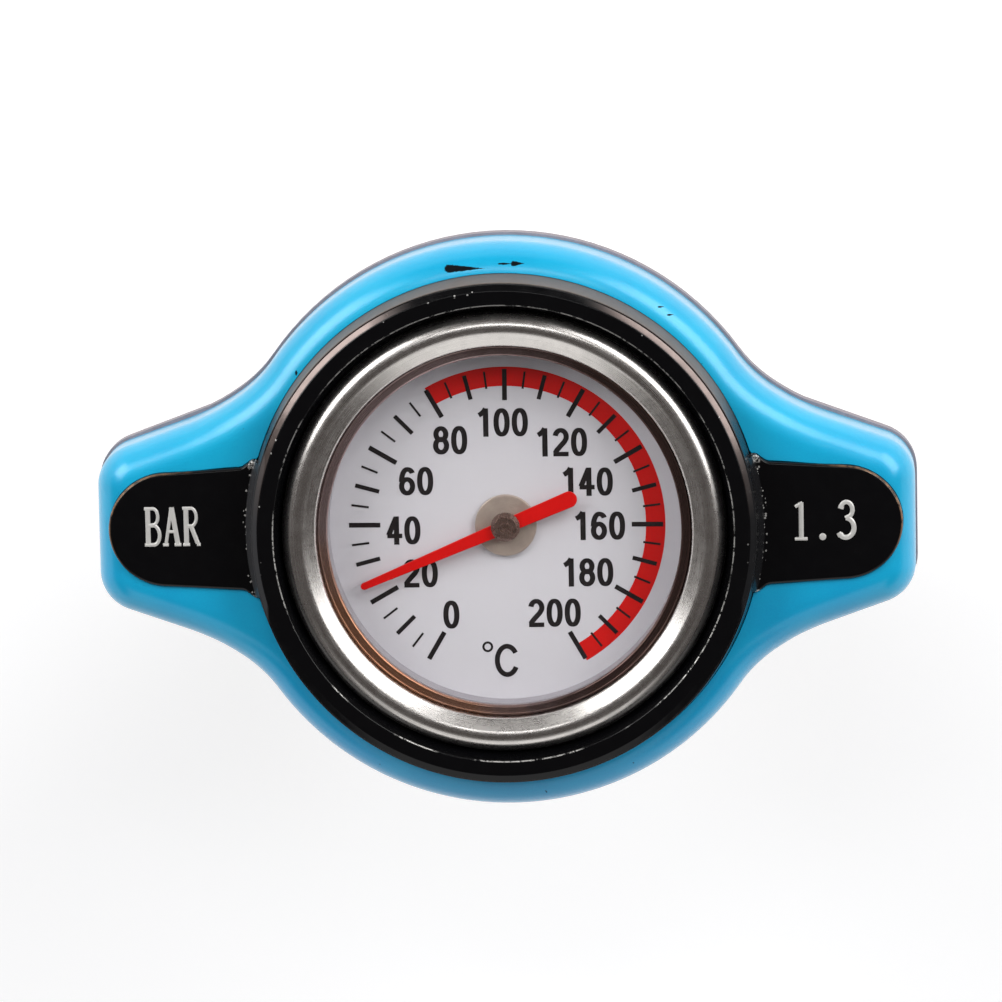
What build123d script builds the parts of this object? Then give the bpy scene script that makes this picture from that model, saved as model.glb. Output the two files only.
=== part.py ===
from build123d import *
from math import cos, radians, sin
import os

os.makedirs("parts", exist_ok=True)

# Radiator cap with a dial thermometer. Millimetres, +Z up along the cap's axis, +X along the wings.
# The origin is on the axis, at the face of the neck gasket, which lies on the lip of the radiator neck.

# General clearances
seat_gap = 0.02          # between pieces that are pressed or clamped together round a shaft
running_gap = 0.06       # radial, round anything that turns or slides
trim_gap = 0.08          # between the cover and the casting that shows through it
touch = 0.01             # how near counts as the same height or place
beyond = 1.0             # how far a cutting body runs past what it cuts

# Plan of the wings and body, at the base flange
wing_span = 72.0
body_dia = 50.3
wing_end_half = 6.7
wing_taper = 20.0
wing_corner_r = 4.0
least_corner_r = 0.3
waist_r = 12.0

# Cover
flange_step = 0.38
cover_height = 7.1
cover_wall = 1.2
shoulder_r = 3.0

# Casting
flange_height = 1.6
floor_thick = 1.7
ring_setback = 2.55
ring_draft = 0.6
ring_height = 3.6
ring_land = 1.75
ring_bevel = 0.2
socket_chamfer = 1.8
socket_chamfer_width = 0.78
pad_height = 0.4
pad_margin = 1.4
pad_end_half = 5.2
pad_root_half = 5.85
pad_flare = 0.8
pad_flare_length = 1.1
pad_bevel = 0.3
casting_wall = 1.9
pocket_r = 0.5
rib_thick = 1.6
shell_recess_gap = 0.2

# Bayonet shell
shell_setback = 2.35
shell_thick = 1.1
shell_bend_r = 1.5
skirt_depth = 7.4
ear_drop = 3.0
ear_span = 50.0
ear_reach = 3.4
rivet_r = 1.3
rivet_head_r = 2.1
rivet_inset = 4.1
rivet_count = 4
rivet_depth = 1.2

# Neck gasket and diaphragm
gasket_thick = 1.5
gasket_inset = 0.9
gasket_width = 4.2
diaphragm_thick = 0.4
diaphragm_rise = 0.6
diaphragm_hub_r = 8.2
diaphragm_land = 5.6

# Gauge shank and what clamps it
shank_r = 5.0
shank_boss_r = 4.0
shank_boss_height = 0.5
guide_r = 3.8
washer_r = 7.7
washer_thick = 0.4
nut_flats = 13.0
nut_thick = 1.6
oring_r = 8.4
oring_section = 1.1
groove_side = 0.15

# Gauge case and window
case_wall = 0.6
case_step = 0.8
case_step_width = 2.2
dial_thick = 0.5
dial_gap = 0.2
spacer_height = 2.3
spacer_setback = 0.05
window_setback = 2.81
lens_thick = 1.2
lens_ring_width = 0.85
lens_ring_height = 0.55
lens_ring_flange = 0.15
bezel_gasket_thick = 0.25
bezel_gasket_width = 1.9
bezel_wall = 0.5
bezel_roll_r = 1.5
bezel_lip = 0.2
bezel_foot = 1.3
bezel_foot_gap = 0.15
socket_gap = 0.12

# Pointer and its works
bush_r = 2.7
bush_flange = 0.5
bush_spigot_r = 1.5
bush_peen = 0.15
bush_edge = 0.12
spindle_r = 0.5
hub_r = 1.27
hub_core_r = 0.8
hub_collar_r = 1.0
hub_collar = 0.15
hub_cap = 0.6
hub_lift = 0.2
peen_depth = 0.2
peen_r = 0.35
pointer_end_gap = 1.6
pointer_tail = 6.5
pointer_root = 1.25
pointer_tip = 0.62
pointer_tail_end = 1.4
pointer_thick = 0.3
scale_sweep_angle = 300.0
scale_max = 200.0
rest_reading = 25.0

# Probe
stem_r = 3.0
stem_wall = 0.35
stem_below_seal = 23.8
stem_top_gap = 0.3
tip_wall = 1.0
coil_strip_thick = 0.2
coil_strip_width = 1.0
coil_mean_r = 2.1
coil_turns = 10
coil_length = 18.0
coil_hub_length = 1.6
anchor_length = 2.2
guide_bush_length = 2.0
guide_bush_depth = 12.0

# Valve
bell_r = 12.9
bell_wall = 0.8
bell_bend_r = 1.3
bell_depth = 9.0
bell_windows = 4
bell_window_angle = 50.0
bell_window_height = 5.0
ring_groove = 0.5
ring_groove_width = 0.8
retainer_reach = 1.6
shank_land = 0.7
spring_r = 10.6
spring_wire_r = 0.8
spring_turns = 5
spring_spare = 1.05
valve_lift = 3.0
plate_r = 13.2
plate_thick = 1.0
plate_rim = 0.8
seal_r = 14.0
seal_thick = 2.5
seal_land = 4.0
seal_hole_r = 7.8
seal_recess = 0.8
port_r = 0.75
port_circle_r = 6.4
port_count = 6
hub_wall = 0.75
hub_length = 6.0
vacuum_r = 9.3
vacuum_thick = 0.8
vacuum_collar_wall = 0.8
vacuum_collar = 0.7
vacuum_gap = 0.03
vacuum_wire_r = 0.2
vacuum_spring_turns = 3
spring_seat_r = 7.0
spring_seat_thick = 0.6
clip_groove = 0.35
clip_thick = 0.8
clip_reach = 1.5
clip_gap = 0.08
shank_end = 0.8

# Radii worked out from the body inwards
body_r = body_dia / 2
ring_foot_r = body_r - ring_setback
ring_top_r = ring_foot_r - ring_draft
socket_r = ring_top_r - ring_land - socket_chamfer_width
bezel_r = socket_r - socket_gap
case_r = bezel_r - bezel_wall - seat_gap
case_inner_r = case_r - case_wall
dial_r = case_inner_r - dial_gap
spacer_r = case_inner_r - seat_gap
window_r = spacer_r - window_setback
pointer_length = window_r - pointer_end_gap
shell_r = body_r - shell_setback
skirt_inner_r = shell_r - shell_thick
rivet_circle_r = skirt_inner_r - rivet_inset
gasket_outer_r = skirt_inner_r - gasket_inset
pad_end_x = wing_span / 2 - pad_margin

# Levels along the axis, worked out from the neck's lip upwards
diaphragm_low = gasket_thick
diaphragm_high = diaphragm_low + diaphragm_rise
shell_under = diaphragm_high + diaphragm_thick
shell_top = shell_under + shell_thick
floor_top = shell_top + floor_thick
flange_low = shell_under - flange_height
flange_top = flange_low + flange_height
cover_top = flange_top + cover_height
ring_top = cover_top + ring_height
case_low = floor_top
case_floor = case_low + case_wall
step_low = case_low + case_step
dial_low = step_low + case_wall
dial_top = dial_low + dial_thick
lens_low = dial_top + spacer_height
lens_top = lens_low + lens_thick
gasket_low = lens_top + lens_ring_flange
gasket_top = gasket_low + bezel_gasket_thick
roll_z = gasket_top + bezel_lip
nut_top = diaphragm_high - washer_thick
nut_low = nut_top - nut_thick
pointer_low = dial_top + bush_flange + hub_lift + hub_collar
pointer_high = pointer_low + pointer_thick
hub_top = pointer_high + hub_cap

# Levels downwards, from the nut to the probe's tip
bell_top = nut_low - running_gap * 2
bell_under = bell_top - bell_wall
retainer_top = bell_under - running_gap
retainer_low = retainer_top - ring_groove_width
land_low = retainer_low - shank_land
spring_room = 2 * spring_wire_r * (spring_turns + 1) + valve_lift + spring_spare
plate_top = bell_under - spring_room
plate_low = plate_top - plate_thick
seal_low = plate_low - seal_thick
seal_inner_low = seal_low + seal_recess
hub_low = plate_low - hub_length
clip_top = hub_low - clip_gap
clip_low = clip_top - clip_thick
guide_low = clip_low - shank_end
stem_low = seal_low - stem_below_seal
stem_top = case_floor + shank_boss_height - stem_top_gap
vacuum_top = seal_inner_low - vacuum_gap
vacuum_low = vacuum_top - vacuum_thick
spring_seat_top = hub_low + spring_seat_thick
coil_low = stem_low + stem_r + tip_wall + anchor_length - coil_strip_width
coil_high = coil_low + coil_length + coil_strip_width

# Radii that follow from a neighbour
plate_bore_r = guide_r + running_gap
hub_outer_r = plate_bore_r + hub_wall
vacuum_bore_r = hub_outer_r + running_gap
stem_bore_r = stem_r - stem_wall
coil_post_r = coil_mean_r - coil_strip_thick / 2 - running_gap


def lift(shape, z):
    return Pos(0, 0, z) * shape


def disc(radius, low, high):
    return lift(Cylinder(radius, high - low, align=(Align.CENTER, Align.CENTER, Align.MIN)), low)


def tube(outer, inner, low, high):
    return disc(outer, low, high) - disc(inner, low - beyond, high + beyond)


def turned(points):
    """Solid of revolution about the axis, from (radius, z) points."""
    outline = Polyline(*[(r, 0, z) for r, z in points], close=True)
    return revolve(make_face(outline), Axis.Z, 360)


def around(shape, count, start=0.0):
    return [Rot(0, 0, start + 360 / count * i) * shape for i in range(count)]


def rim_at(shape, z):
    return shape.edges().filter_by(lambda edge: abs(edge.center().Z - z) < touch)


def sector(angle, reach, low, high):
    """Wedge about the axis, centred on +Y."""
    half = radians(angle / 2)
    side_x, side_y = reach * sin(half), reach * cos(half)
    face = make_face(Polyline((0, 0), (side_x, side_y), (-side_x, side_y), close=True))
    return extrude(Pos(0, 0, low) * face, high - low)


def plan(inset):
    """Outline of body and wings, drawn in by an inset from the base flange."""
    slope = radians(wing_taper)
    half_span = wing_span / 2 - inset
    side = wing_span / 2 * sin(slope) + wing_end_half * cos(slope) - inset
    end_half = (side - half_span * sin(slope)) / cos(slope)
    middle_half = side / cos(slope)
    round_r = body_r - inset
    upper = [(half_span, end_half), (0, middle_half), (-half_span, end_half)]
    lower = [(-x, -y) for x, y in upper]
    shape = Circle(round_r) + make_face(Polyline(*upper, *lower, close=True))
    corners = [v for v in shape.vertices() if abs(abs(v.X) - half_span) < touch]
    shape = fillet(corners, radius=max(wing_corner_r - inset, least_corner_r))
    waists = [v for v in shape.vertices() if abs(Vector(v.X, v.Y).length - round_r) < touch]
    return fillet(waists, radius=waist_r + inset)


def crowned(inset, low, high, shoulder):
    """Wing body with a rounded top edge."""
    block = extrude(Pos(0, 0, low) * plan(inset), high - low)
    return fillet(rim_at(block, high), radius=shoulder)


def pad_outline(grow):
    """Both wing pads, from inside the ring to a round outer end, flared where they meet the ring."""
    end_r = pad_end_half + grow
    end_x = pad_end_x - pad_end_half
    root = pad_root_half + grow
    flare = root + pad_flare
    upper = [(socket_r, flare), (ring_foot_r, flare), (ring_foot_r + pad_flare_length, root), (end_x, end_r)]
    lower = [(x, -y) for x, y in reversed(upper)]
    pad = make_face(Polyline(*upper, *lower, close=True)) + Pos(end_x, 0) * Circle(end_r)
    return pad + mirror(pad, Plane.YZ)


def wing_cover():
    shell = crowned(flange_step, flange_top, cover_top, shoulder_r)
    inner_top = cover_top - cover_wall
    shell -= crowned(flange_step + cover_wall, flange_top - beyond, inner_top, shoulder_r - cover_wall)
    shell -= disc(ring_foot_r + trim_gap, flange_top, cover_top + beyond)
    return shell - extrude(Pos(0, 0, flange_top) * pad_outline(trim_gap), cover_height + beyond)


def raised_ring():
    bevel_z = ring_top - ring_bevel
    profile = [(0, flange_low), (ring_foot_r, flange_low), (ring_foot_r, cover_top), (ring_top_r, bevel_z)]
    profile += [(ring_top_r - ring_bevel, ring_top), (ring_top_r - ring_land, ring_top)]
    profile += [(socket_r, ring_top - socket_chamfer), (0, ring_top - socket_chamfer)]
    return turned(profile)


def wing_pads():
    pad_top = cover_top + pad_height
    pads = extrude(Pos(0, 0, flange_low) * pad_outline(0), pad_top - flange_low)
    return chamfer(rim_at(pads, pad_top), pad_bevel)


def wing_pockets(inset):
    """Hollows under the wings, each side of a rib."""
    pocket_top = cover_top - cover_wall - casting_wall
    pocket = crowned(inset + casting_wall, flange_low - beyond, pocket_top, pocket_r)
    pocket -= disc(ring_foot_r, flange_low - beyond, cover_top)
    return pocket - Pos(0, 0, flange_low) * Box(wing_span, rib_thick, 2 * cover_top)


def core_casting():
    inset = flange_step + cover_wall + trim_gap
    body = extrude(Pos(0, 0, flange_low) * plan(0), flange_height)
    body += crowned(inset, flange_low, cover_top - cover_wall - trim_gap, shoulder_r - cover_wall)
    body += wing_pads()
    body += raised_ring()
    body -= disc(socket_r, floor_top, ring_top + beyond)
    body -= wing_pockets(inset)
    body -= disc(shell_r + shell_recess_gap, flange_low - beyond, shell_top)
    body -= disc(shank_r + seat_gap, flange_low, floor_top + beyond)
    groove_half = oring_section / 2 + groove_side
    body -= tube(oring_r + groove_half, oring_r - groove_half, floor_top - oring_section, floor_top + beyond)
    for hole in rivets(seat_gap):
        body -= hole
    return body


def rivets(grow):
    """Flush rivets through the shell's top into the casting's floor."""
    r = rivet_r + grow
    head = rivet_head_r + grow
    neck_z = shell_under + shell_thick / 2
    end_z = shell_top + rivet_depth
    rivet = turned([(0, shell_under), (head, shell_under), (r, neck_z), (r, end_z), (0, end_z)])
    return around(Pos(rivet_circle_r, 0, 0) * rivet, rivet_count, 180 / rivet_count)


def shell_rivets():
    return Compound(children=[rivet.solid() for rivet in rivets(0)])


def bayonet_shell():
    """Cup whose skirt is cut short between two tongues, which are folded inwards as ears."""
    skirt_low = shell_under - skirt_depth
    ear_low = skirt_low - ear_drop
    cup = disc(shell_r, ear_low, shell_top)
    cup = fillet(rim_at(cup, shell_top), radius=shell_bend_r)
    bore = disc(skirt_inner_r, ear_low - beyond, shell_under)
    cup -= fillet(rim_at(bore, shell_under), radius=shell_bend_r - shell_thick)
    tongues = sector(ear_span, 2 * shell_r, ear_low - beyond, skirt_low)
    tongues += Rot(0, 0, 180) * tongues
    cup -= disc(shell_r + beyond, ear_low - beyond, skirt_low) - tongues
    folds = tube(shell_r - shell_thick / 2, skirt_inner_r - ear_reach, ear_low, ear_low + shell_thick)
    cup += folds & tongues
    cup -= disc(shank_r + seat_gap, shell_under - beyond, shell_top + beyond)
    for hole in rivets(seat_gap):
        cup -= hole
    return cup


def diaphragm_disc():
    bore = shank_r + seat_gap
    edge = gasket_outer_r
    land = edge - diaphragm_land
    rim_top = diaphragm_low + diaphragm_thick
    upper = [(bore, shell_under), (diaphragm_hub_r, shell_under), (land, rim_top), (edge, rim_top)]
    lower = [(edge, diaphragm_low), (land, diaphragm_low)]
    return turned(upper + lower + [(diaphragm_hub_r, diaphragm_high), (bore, diaphragm_high)])


def neck_gasket():
    return tube(gasket_outer_r, gasket_outer_r - gasket_width, 0, gasket_thick)


def lock_washer():
    return tube(washer_r, shank_r + seat_gap, nut_top, diaphragm_high)


def shank_nut():
    hexagon = RegularPolygon(nut_flats / 2, 6, major_radius=False)
    nut = extrude(Pos(0, 0, nut_low) * hexagon, nut_thick)
    return nut - disc(shank_r + seat_gap, nut_low - beyond, nut_top + beyond)


def gauge_shank():
    """Turned shank: boss in the gauge case, threaded part, ring groove, valve guide and clip groove."""
    boss_top = case_floor + shank_boss_height
    groove_r = shank_r - ring_groove
    clip_r = guide_r - clip_groove
    bore = stem_r + seat_gap
    profile = [(shank_boss_r, boss_top), (shank_boss_r, case_low), (shank_r, case_low)]
    profile += [(shank_r, retainer_top), (groove_r, retainer_top), (groove_r, retainer_low)]
    profile += [(shank_r, retainer_low), (shank_r, land_low), (guide_r, land_low)]
    profile += [(guide_r, clip_top), (clip_r, clip_top), (clip_r, clip_low), (guide_r, clip_low)]
    return turned(profile + [(guide_r, guide_low), (bore, guide_low), (bore, boss_top)])


def gauge_oring():
    return lift(Torus(oring_r, oring_section / 2 - seat_gap), floor_top - oring_section / 2)


def gauge_case():
    """Cup with a raised step that carries the dial, and a hole for the shank's boss."""
    inner = shank_boss_r + seat_gap
    step_r = case_r - case_step_width
    well_r = step_r - case_wall
    profile = [(inner, case_low), (step_r, case_low), (step_r, step_low), (case_r, step_low)]
    profile += [(case_r, lens_top), (case_inner_r, lens_top), (case_inner_r, dial_low)]
    return turned(profile + [(well_r, dial_low), (well_r, case_floor), (inner, case_floor)])


def dial_plate():
    return tube(dial_r, bush_spigot_r + seat_gap, dial_low, dial_top)


def dial_spacer():
    return tube(spacer_r, window_r + spacer_setback, dial_top, lens_low)


def lens():
    return disc(spacer_r, lens_low, lens_top)


def lens_ring():
    """Ring at the window's edge, with a thin flange held under the gasket."""
    outer = window_r + lens_ring_width
    flange_r = case_r - bezel_gasket_width / 2
    top = lens_top + lens_ring_height
    soft = lens_ring_height / 3
    profile = [(window_r, lens_top), (window_r, top - soft), (window_r + soft, top), (outer - soft, top)]
    profile += [(outer, top - soft), (outer, gasket_low), (flange_r, gasket_low), (flange_r, lens_top)]
    return turned(profile)


def bezel_gasket():
    return tube(case_r, case_r - bezel_gasket_width, gasket_low, gasket_top)


def bezel():
    """Rolled ring: straight wall, half-round crown, lip on the gasket and a foot crimped under the case."""
    crown_x = bezel_r - bezel_roll_r
    wall_x = bezel_r - bezel_wall
    lip_x = crown_x - bezel_roll_r
    lip_wall_x = lip_x + bezel_wall
    foot_x = case_r - bezel_foot
    foot_low = case_low + bezel_foot_gap
    corners = [(wall_x, roll_z), (wall_x, step_low), (foot_x, step_low), (foot_x, foot_low)]
    corners += [(bezel_r, foot_low), (bezel_r, roll_z)]
    lip = [(lip_x, roll_z), (lip_x, gasket_top), (lip_wall_x, gasket_top), (lip_wall_x, roll_z)]
    outline = Polyline(*[(x, 0, z) for x, z in corners])
    outline += ThreePointArc((bezel_r, 0, roll_z), (crown_x, 0, roll_z + bezel_roll_r), (lip_x, 0, roll_z))
    outline += Polyline(*[(x, 0, z) for x, z in lip])
    crown_in = (crown_x, 0, roll_z + bezel_roll_r - bezel_wall)
    outline += ThreePointArc((lip_wall_x, 0, roll_z), crown_in, (wall_x, 0, roll_z))
    return revolve(make_face(outline), Axis.Z, 360)


def dial_bush():
    bore = spindle_r + running_gap
    top = dial_top + bush_flange
    profile = [(bore, dial_low - bush_peen), (bush_spigot_r, dial_low - bush_peen), (bush_spigot_r, dial_top)]
    profile += [(bush_r, dial_top), (bush_r, top - bush_edge), (bush_r - bush_edge, top), (bore, top)]
    return turned(profile)


def blade_shape():
    """Flat outline of the pointer, with its tip towards -X."""
    tip_x = pointer_tip / 2 - pointer_length
    tail_x = pointer_tail - pointer_tail_end / 2
    half = [(tip_x, pointer_tip / 2), (0, pointer_root / 2), (tail_x, pointer_tail_end / 2)]
    other = [(x, -y) for x, y in reversed(half)]
    shape = make_face(Polyline(*half, *other, close=True)) + Circle(hub_r)
    shape += Pos(tail_x, 0) * Circle(pointer_tail_end / 2)
    return shape + Pos(tip_x, 0) * Circle(pointer_tip / 2) - Circle(hub_core_r)


def pointer():
    clockwise = (rest_reading / scale_max - 0.5) * scale_sweep_angle
    return Rot(0, 0, -90 - clockwise) * extrude(Pos(0, 0, pointer_low) * blade_shape(), pointer_thick)


def pointer_hub():
    """Boss with a collar under the pointer and a cap over it."""
    profile = [(spindle_r, pointer_low - hub_collar), (hub_collar_r, pointer_low - hub_collar)]
    profile += [(hub_collar_r, pointer_low), (hub_core_r, pointer_low), (hub_core_r, pointer_high)]
    profile += [(hub_r, pointer_high), (hub_r, hub_top - bush_edge), (hub_r - bush_edge, hub_top)]
    return turned(profile + [(spindle_r, hub_top)])


def spindle():
    rod = disc(spindle_r, coil_high - coil_hub_length, hub_top)
    return rod - disc(peen_r, hub_top - peen_depth, hub_top + beyond)


def coil_hub():
    """Collar on the spindle that the top turn of the coil is wrapped round."""
    return tube(coil_post_r, spindle_r, coil_high - coil_hub_length, coil_high)


def bimetal_coil():
    start = coil_low + coil_strip_width / 2
    path = lift(Helix(pitch=coil_length / coil_turns, height=coil_length, radius=coil_mean_r), start)
    across = Plane(origin=path @ 0, z_dir=path % 0, x_dir=(1, 0, 0))
    return sweep(across * Rectangle(coil_strip_thick, coil_strip_width), path=path, is_frenet=True)


def spindle_guide():
    high = case_low - guide_bush_depth
    return tube(stem_bore_r - seat_gap, spindle_r + running_gap, high - guide_bush_length, high)


def stem_tube():
    return tube(stem_r, stem_bore_r, stem_low + stem_r, stem_top)


def stem_tip():
    """Rounded plug with a spigot and a post that anchors the coil."""
    plug_z = stem_low + stem_r
    ball = lift(Sphere(stem_r), plug_z) & disc(stem_r, stem_low, plug_z)
    spigot = disc(stem_bore_r - seat_gap, plug_z, plug_z + tip_wall)
    return ball + spigot + disc(coil_post_r, plug_z + tip_wall, plug_z + tip_wall + anchor_length)


def bell_retaining_ring():
    inner = shank_r - ring_groove + seat_gap
    return tube(shank_r + retainer_reach, inner, retainer_low + seat_gap, retainer_top - seat_gap)


def spring_bell():
    """Inverted cup with windows, which holds the top of the main spring."""
    bell_low = bell_top - bell_depth
    cup = disc(bell_r, bell_low, bell_top)
    cup = fillet(rim_at(cup, bell_top), radius=bell_bend_r)
    bore = disc(bell_r - bell_wall, bell_low - beyond, bell_under)
    cup -= fillet(rim_at(bore, bell_under), radius=bell_bend_r - bell_wall)
    cup -= disc(shank_r + running_gap, bell_under - beyond, bell_top + beyond)
    window_low = bell_low + (bell_depth - bell_wall - bell_window_height) / 2
    window = sector(bell_window_angle, 2 * bell_r, window_low, window_low + bell_window_height)
    for cut in around(window, bell_windows):
        cup -= cut
    return cup


def coil_spring(mean_r, wire_r, turns, low, high):
    """Open coil spring that just clears the faces at low and high."""
    rise = high - low - 2 * wire_r - 2 * seat_gap
    path = lift(Helix(pitch=rise / turns, height=rise, radius=mean_r), low + wire_r + seat_gap)
    return sweep(Plane(origin=path @ 0, z_dir=path % 0) * Circle(wire_r), path=path, is_frenet=True)


def main_spring():
    return coil_spring(spring_r, spring_wire_r, spring_turns, plate_top, bell_under)


def pressure_plate():
    """Rimmed plate on a long hub that slides on the shank, with ports for the vacuum valve."""
    rim_r = plate_r - plate_rim
    rim_top = plate_top + plate_rim
    profile = [(plate_bore_r, plate_top), (rim_r, plate_top), (rim_r, rim_top), (plate_r, rim_top)]
    profile += [(plate_r, plate_low), (hub_outer_r, plate_low), (hub_outer_r, hub_low)]
    plate = turned(profile + [(plate_bore_r, hub_low)])
    port = Pos(port_circle_r, 0, 0) * disc(port_r, plate_low - beyond, plate_top + beyond)
    for cut in around(port, port_count):
        plate -= cut
    return plate


def pressure_seal():
    """Rubber ring with a sealing land round its edge and a recess where the vacuum disc seats."""
    step_r = seal_r - seal_land
    profile = [(seal_hole_r, plate_low), (seal_r, plate_low), (seal_r, seal_low), (step_r, seal_low)]
    return turned(profile + [(step_r, seal_inner_low), (seal_hole_r, seal_inner_low)])


def vacuum_disc():
    collar_r = vacuum_bore_r + vacuum_collar_wall
    collar_low = vacuum_low - vacuum_collar
    profile = [(vacuum_bore_r, vacuum_top), (vacuum_r, vacuum_top), (vacuum_r, vacuum_low)]
    return turned(profile + [(collar_r, vacuum_low), (collar_r, collar_low), (vacuum_bore_r, collar_low)])


def vacuum_spring():
    mean_r = vacuum_bore_r + vacuum_collar_wall + vacuum_wire_r + 2 * running_gap
    return coil_spring(mean_r, vacuum_wire_r, vacuum_spring_turns, spring_seat_top, vacuum_low)


def vacuum_spring_seat():
    return tube(spring_seat_r, hub_outer_r + seat_gap, hub_low, spring_seat_top)


def stem_clip():
    inner = guide_r - clip_groove + seat_gap
    return tube(guide_r + clip_reach, inner, clip_low + seat_gap, clip_top - seat_gap)


cap = [wing_cover, core_casting, bayonet_shell, shell_rivets, diaphragm_disc, neck_gasket]
clamp = [gauge_shank, gauge_oring, lock_washer, shank_nut, bell_retaining_ring, stem_clip]
gauge = [gauge_case, dial_plate, dial_spacer, lens, lens_ring, bezel_gasket, bezel, dial_bush]
works = [pointer, pointer_hub, spindle, coil_hub, bimetal_coil, spindle_guide, stem_tube, stem_tip]
valve = [spring_bell, main_spring, pressure_plate, pressure_seal]
vacuum = [vacuum_disc, vacuum_spring, vacuum_spring_seat]

for piece in cap + clamp + gauge + works + valve + vacuum:
    export_step(piece(), f"parts/{piece.__name__}.step")

print(f"overall height {ring_top - stem_low:.2f}, ring top {ring_top:.2f}, stem tip {stem_low:.2f}")
print(f"seal face {seal_low:.2f}, ear grip {shell_under - skirt_depth - ear_drop + shell_thick:.2f}")
print(f"dial {dial_top:.2f}, cover top {cover_top:.2f}, bell top {bell_top:.2f}")
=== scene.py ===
from math import atan2, ceil, cos, pi, radians, sin, tan, tau

import bmesh
import bpy
import numpy as np
from mathutils import Matrix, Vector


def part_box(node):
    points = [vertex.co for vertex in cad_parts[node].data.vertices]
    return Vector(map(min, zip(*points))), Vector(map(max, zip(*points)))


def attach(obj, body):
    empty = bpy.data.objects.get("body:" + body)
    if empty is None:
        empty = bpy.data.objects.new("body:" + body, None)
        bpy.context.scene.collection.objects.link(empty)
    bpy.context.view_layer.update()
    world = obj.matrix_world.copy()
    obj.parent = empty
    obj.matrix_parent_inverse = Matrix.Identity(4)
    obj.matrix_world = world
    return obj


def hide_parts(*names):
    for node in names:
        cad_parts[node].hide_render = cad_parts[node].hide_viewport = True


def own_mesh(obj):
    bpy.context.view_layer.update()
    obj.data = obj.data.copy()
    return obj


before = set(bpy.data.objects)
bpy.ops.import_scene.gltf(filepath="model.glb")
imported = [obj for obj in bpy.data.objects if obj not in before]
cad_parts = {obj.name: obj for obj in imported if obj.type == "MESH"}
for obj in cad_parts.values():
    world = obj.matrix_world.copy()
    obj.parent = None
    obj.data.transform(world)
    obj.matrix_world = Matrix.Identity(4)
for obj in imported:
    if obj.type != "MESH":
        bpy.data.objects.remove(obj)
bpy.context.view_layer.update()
print("frame loaded")

mm = 0.001               # lengths below are in millimetres, meshes are in metres


# How a curve or a surface becomes a mesh

# Radius, lowest and highest point of a node that is round about Z, in millimetres.
def roundSize(node):
    low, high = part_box(node)
    return high.x / mm, low.z / mm, high.z / mm


# Polygon of (a, b, radius) corners with each corner replaced by an arc of that radius.
# The arc runs between two radii n0 and n1 as (sin((1-s)w) n0 + sin(s w) n1) / sin w, where w is their angle.
# A point at the hold distance beyond each end of an arc keeps the flat beside it flat.
def rounded(corners, closed=True, stepAngle=9.0, hold=0.03):
    places = [np.array(corner[:2], float) for corner in corners]
    count = len(places)
    path = []
    for k, corner in enumerate(corners):
        place, radius = places[k], corner[2]
        if radius <= 0 or (not closed and k in (0, count - 1)):
            path.append(place)
            continue
        before, after = places[k - 1] - place, places[(k + 1) % count] - place
        lengthBefore, lengthAfter = np.linalg.norm(before), np.linalg.norm(after)
        before, after = before / lengthBefore, after / lengthAfter
        opening = np.arccos(np.clip(before @ after, -1, 1))
        if pi - opening < 0.02:
            path.append(place)
            continue
        room = 0.5 * min(lengthBefore, lengthAfter)
        reach = min(radius / tan(opening / 2), room)
        radius = reach * tan(opening / 2)
        middle = (before + after) / np.linalg.norm(before + after)
        centre = place + middle * radius / sin(opening / 2)
        first, last = place + before * reach, place + after * reach
        turn = pi - opening
        share = np.linspace(0, 1, max(2, ceil(np.degrees(turn) / stepAngle)) + 1)[:, None]
        arc = (np.sin((1 - share) * turn) * (first - centre) + np.sin(share * turn) * (last - centre)) / sin(turn)
        if reach + 2 * hold < room:
            path.append(place + before * (reach + hold))
        path.extend(centre + arc)
        if reach + 2 * hold < room:
            path.append(place + after * (reach + hold))
    return np.array(path)


# Ellipse arc from first to last degrees.
def arcPoints(centreX, centreY, radiusX, radiusY, first, last, count=24):
    angle = np.radians(np.linspace(first, last, count))
    return np.stack([centreX + radiusX * np.cos(angle), centreY + radiusY * np.sin(angle)], 1)


# Quads of a grid of rows times columns points, numbered row by row, joined round where it wraps.
def gridFaces(rows, columns, wrapRows, wrapColumns, first=0):
    i = np.arange(rows if wrapRows else rows - 1)
    j = np.arange(columns if wrapColumns else columns - 1)
    i, j = [a.ravel() for a in np.meshgrid(i, j, indexing="ij")]
    nextI, nextJ = (i + 1) % rows, (j + 1) % columns
    return first + np.stack([i * columns + j, nextI * columns + j, nextI * columns + nextJ, i * columns + nextJ], 1)


# A grid of points (rows, columns, 3) as (points, quads).
def grid(points, wrapRows=False, wrapColumns=False):
    rows, columns = points.shape[:2]
    return points.reshape(-1, 3), gridFaces(rows, columns, wrapRows, wrapColumns)


# A (radius, z) path turned about Z: x = r cos a, y = r sin a.
def lathe(path, closed=True, around=192):
    angle = np.linspace(0, tau, around, endpoint=False)[:, None]
    r, z = path[:, 0][None, :], path[:, 1][None, :]
    points = np.stack([r * np.cos(angle), r * np.sin(angle), z + 0 * angle], 2)
    return grid(points, wrapRows=True, wrapColumns=closed)


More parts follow.
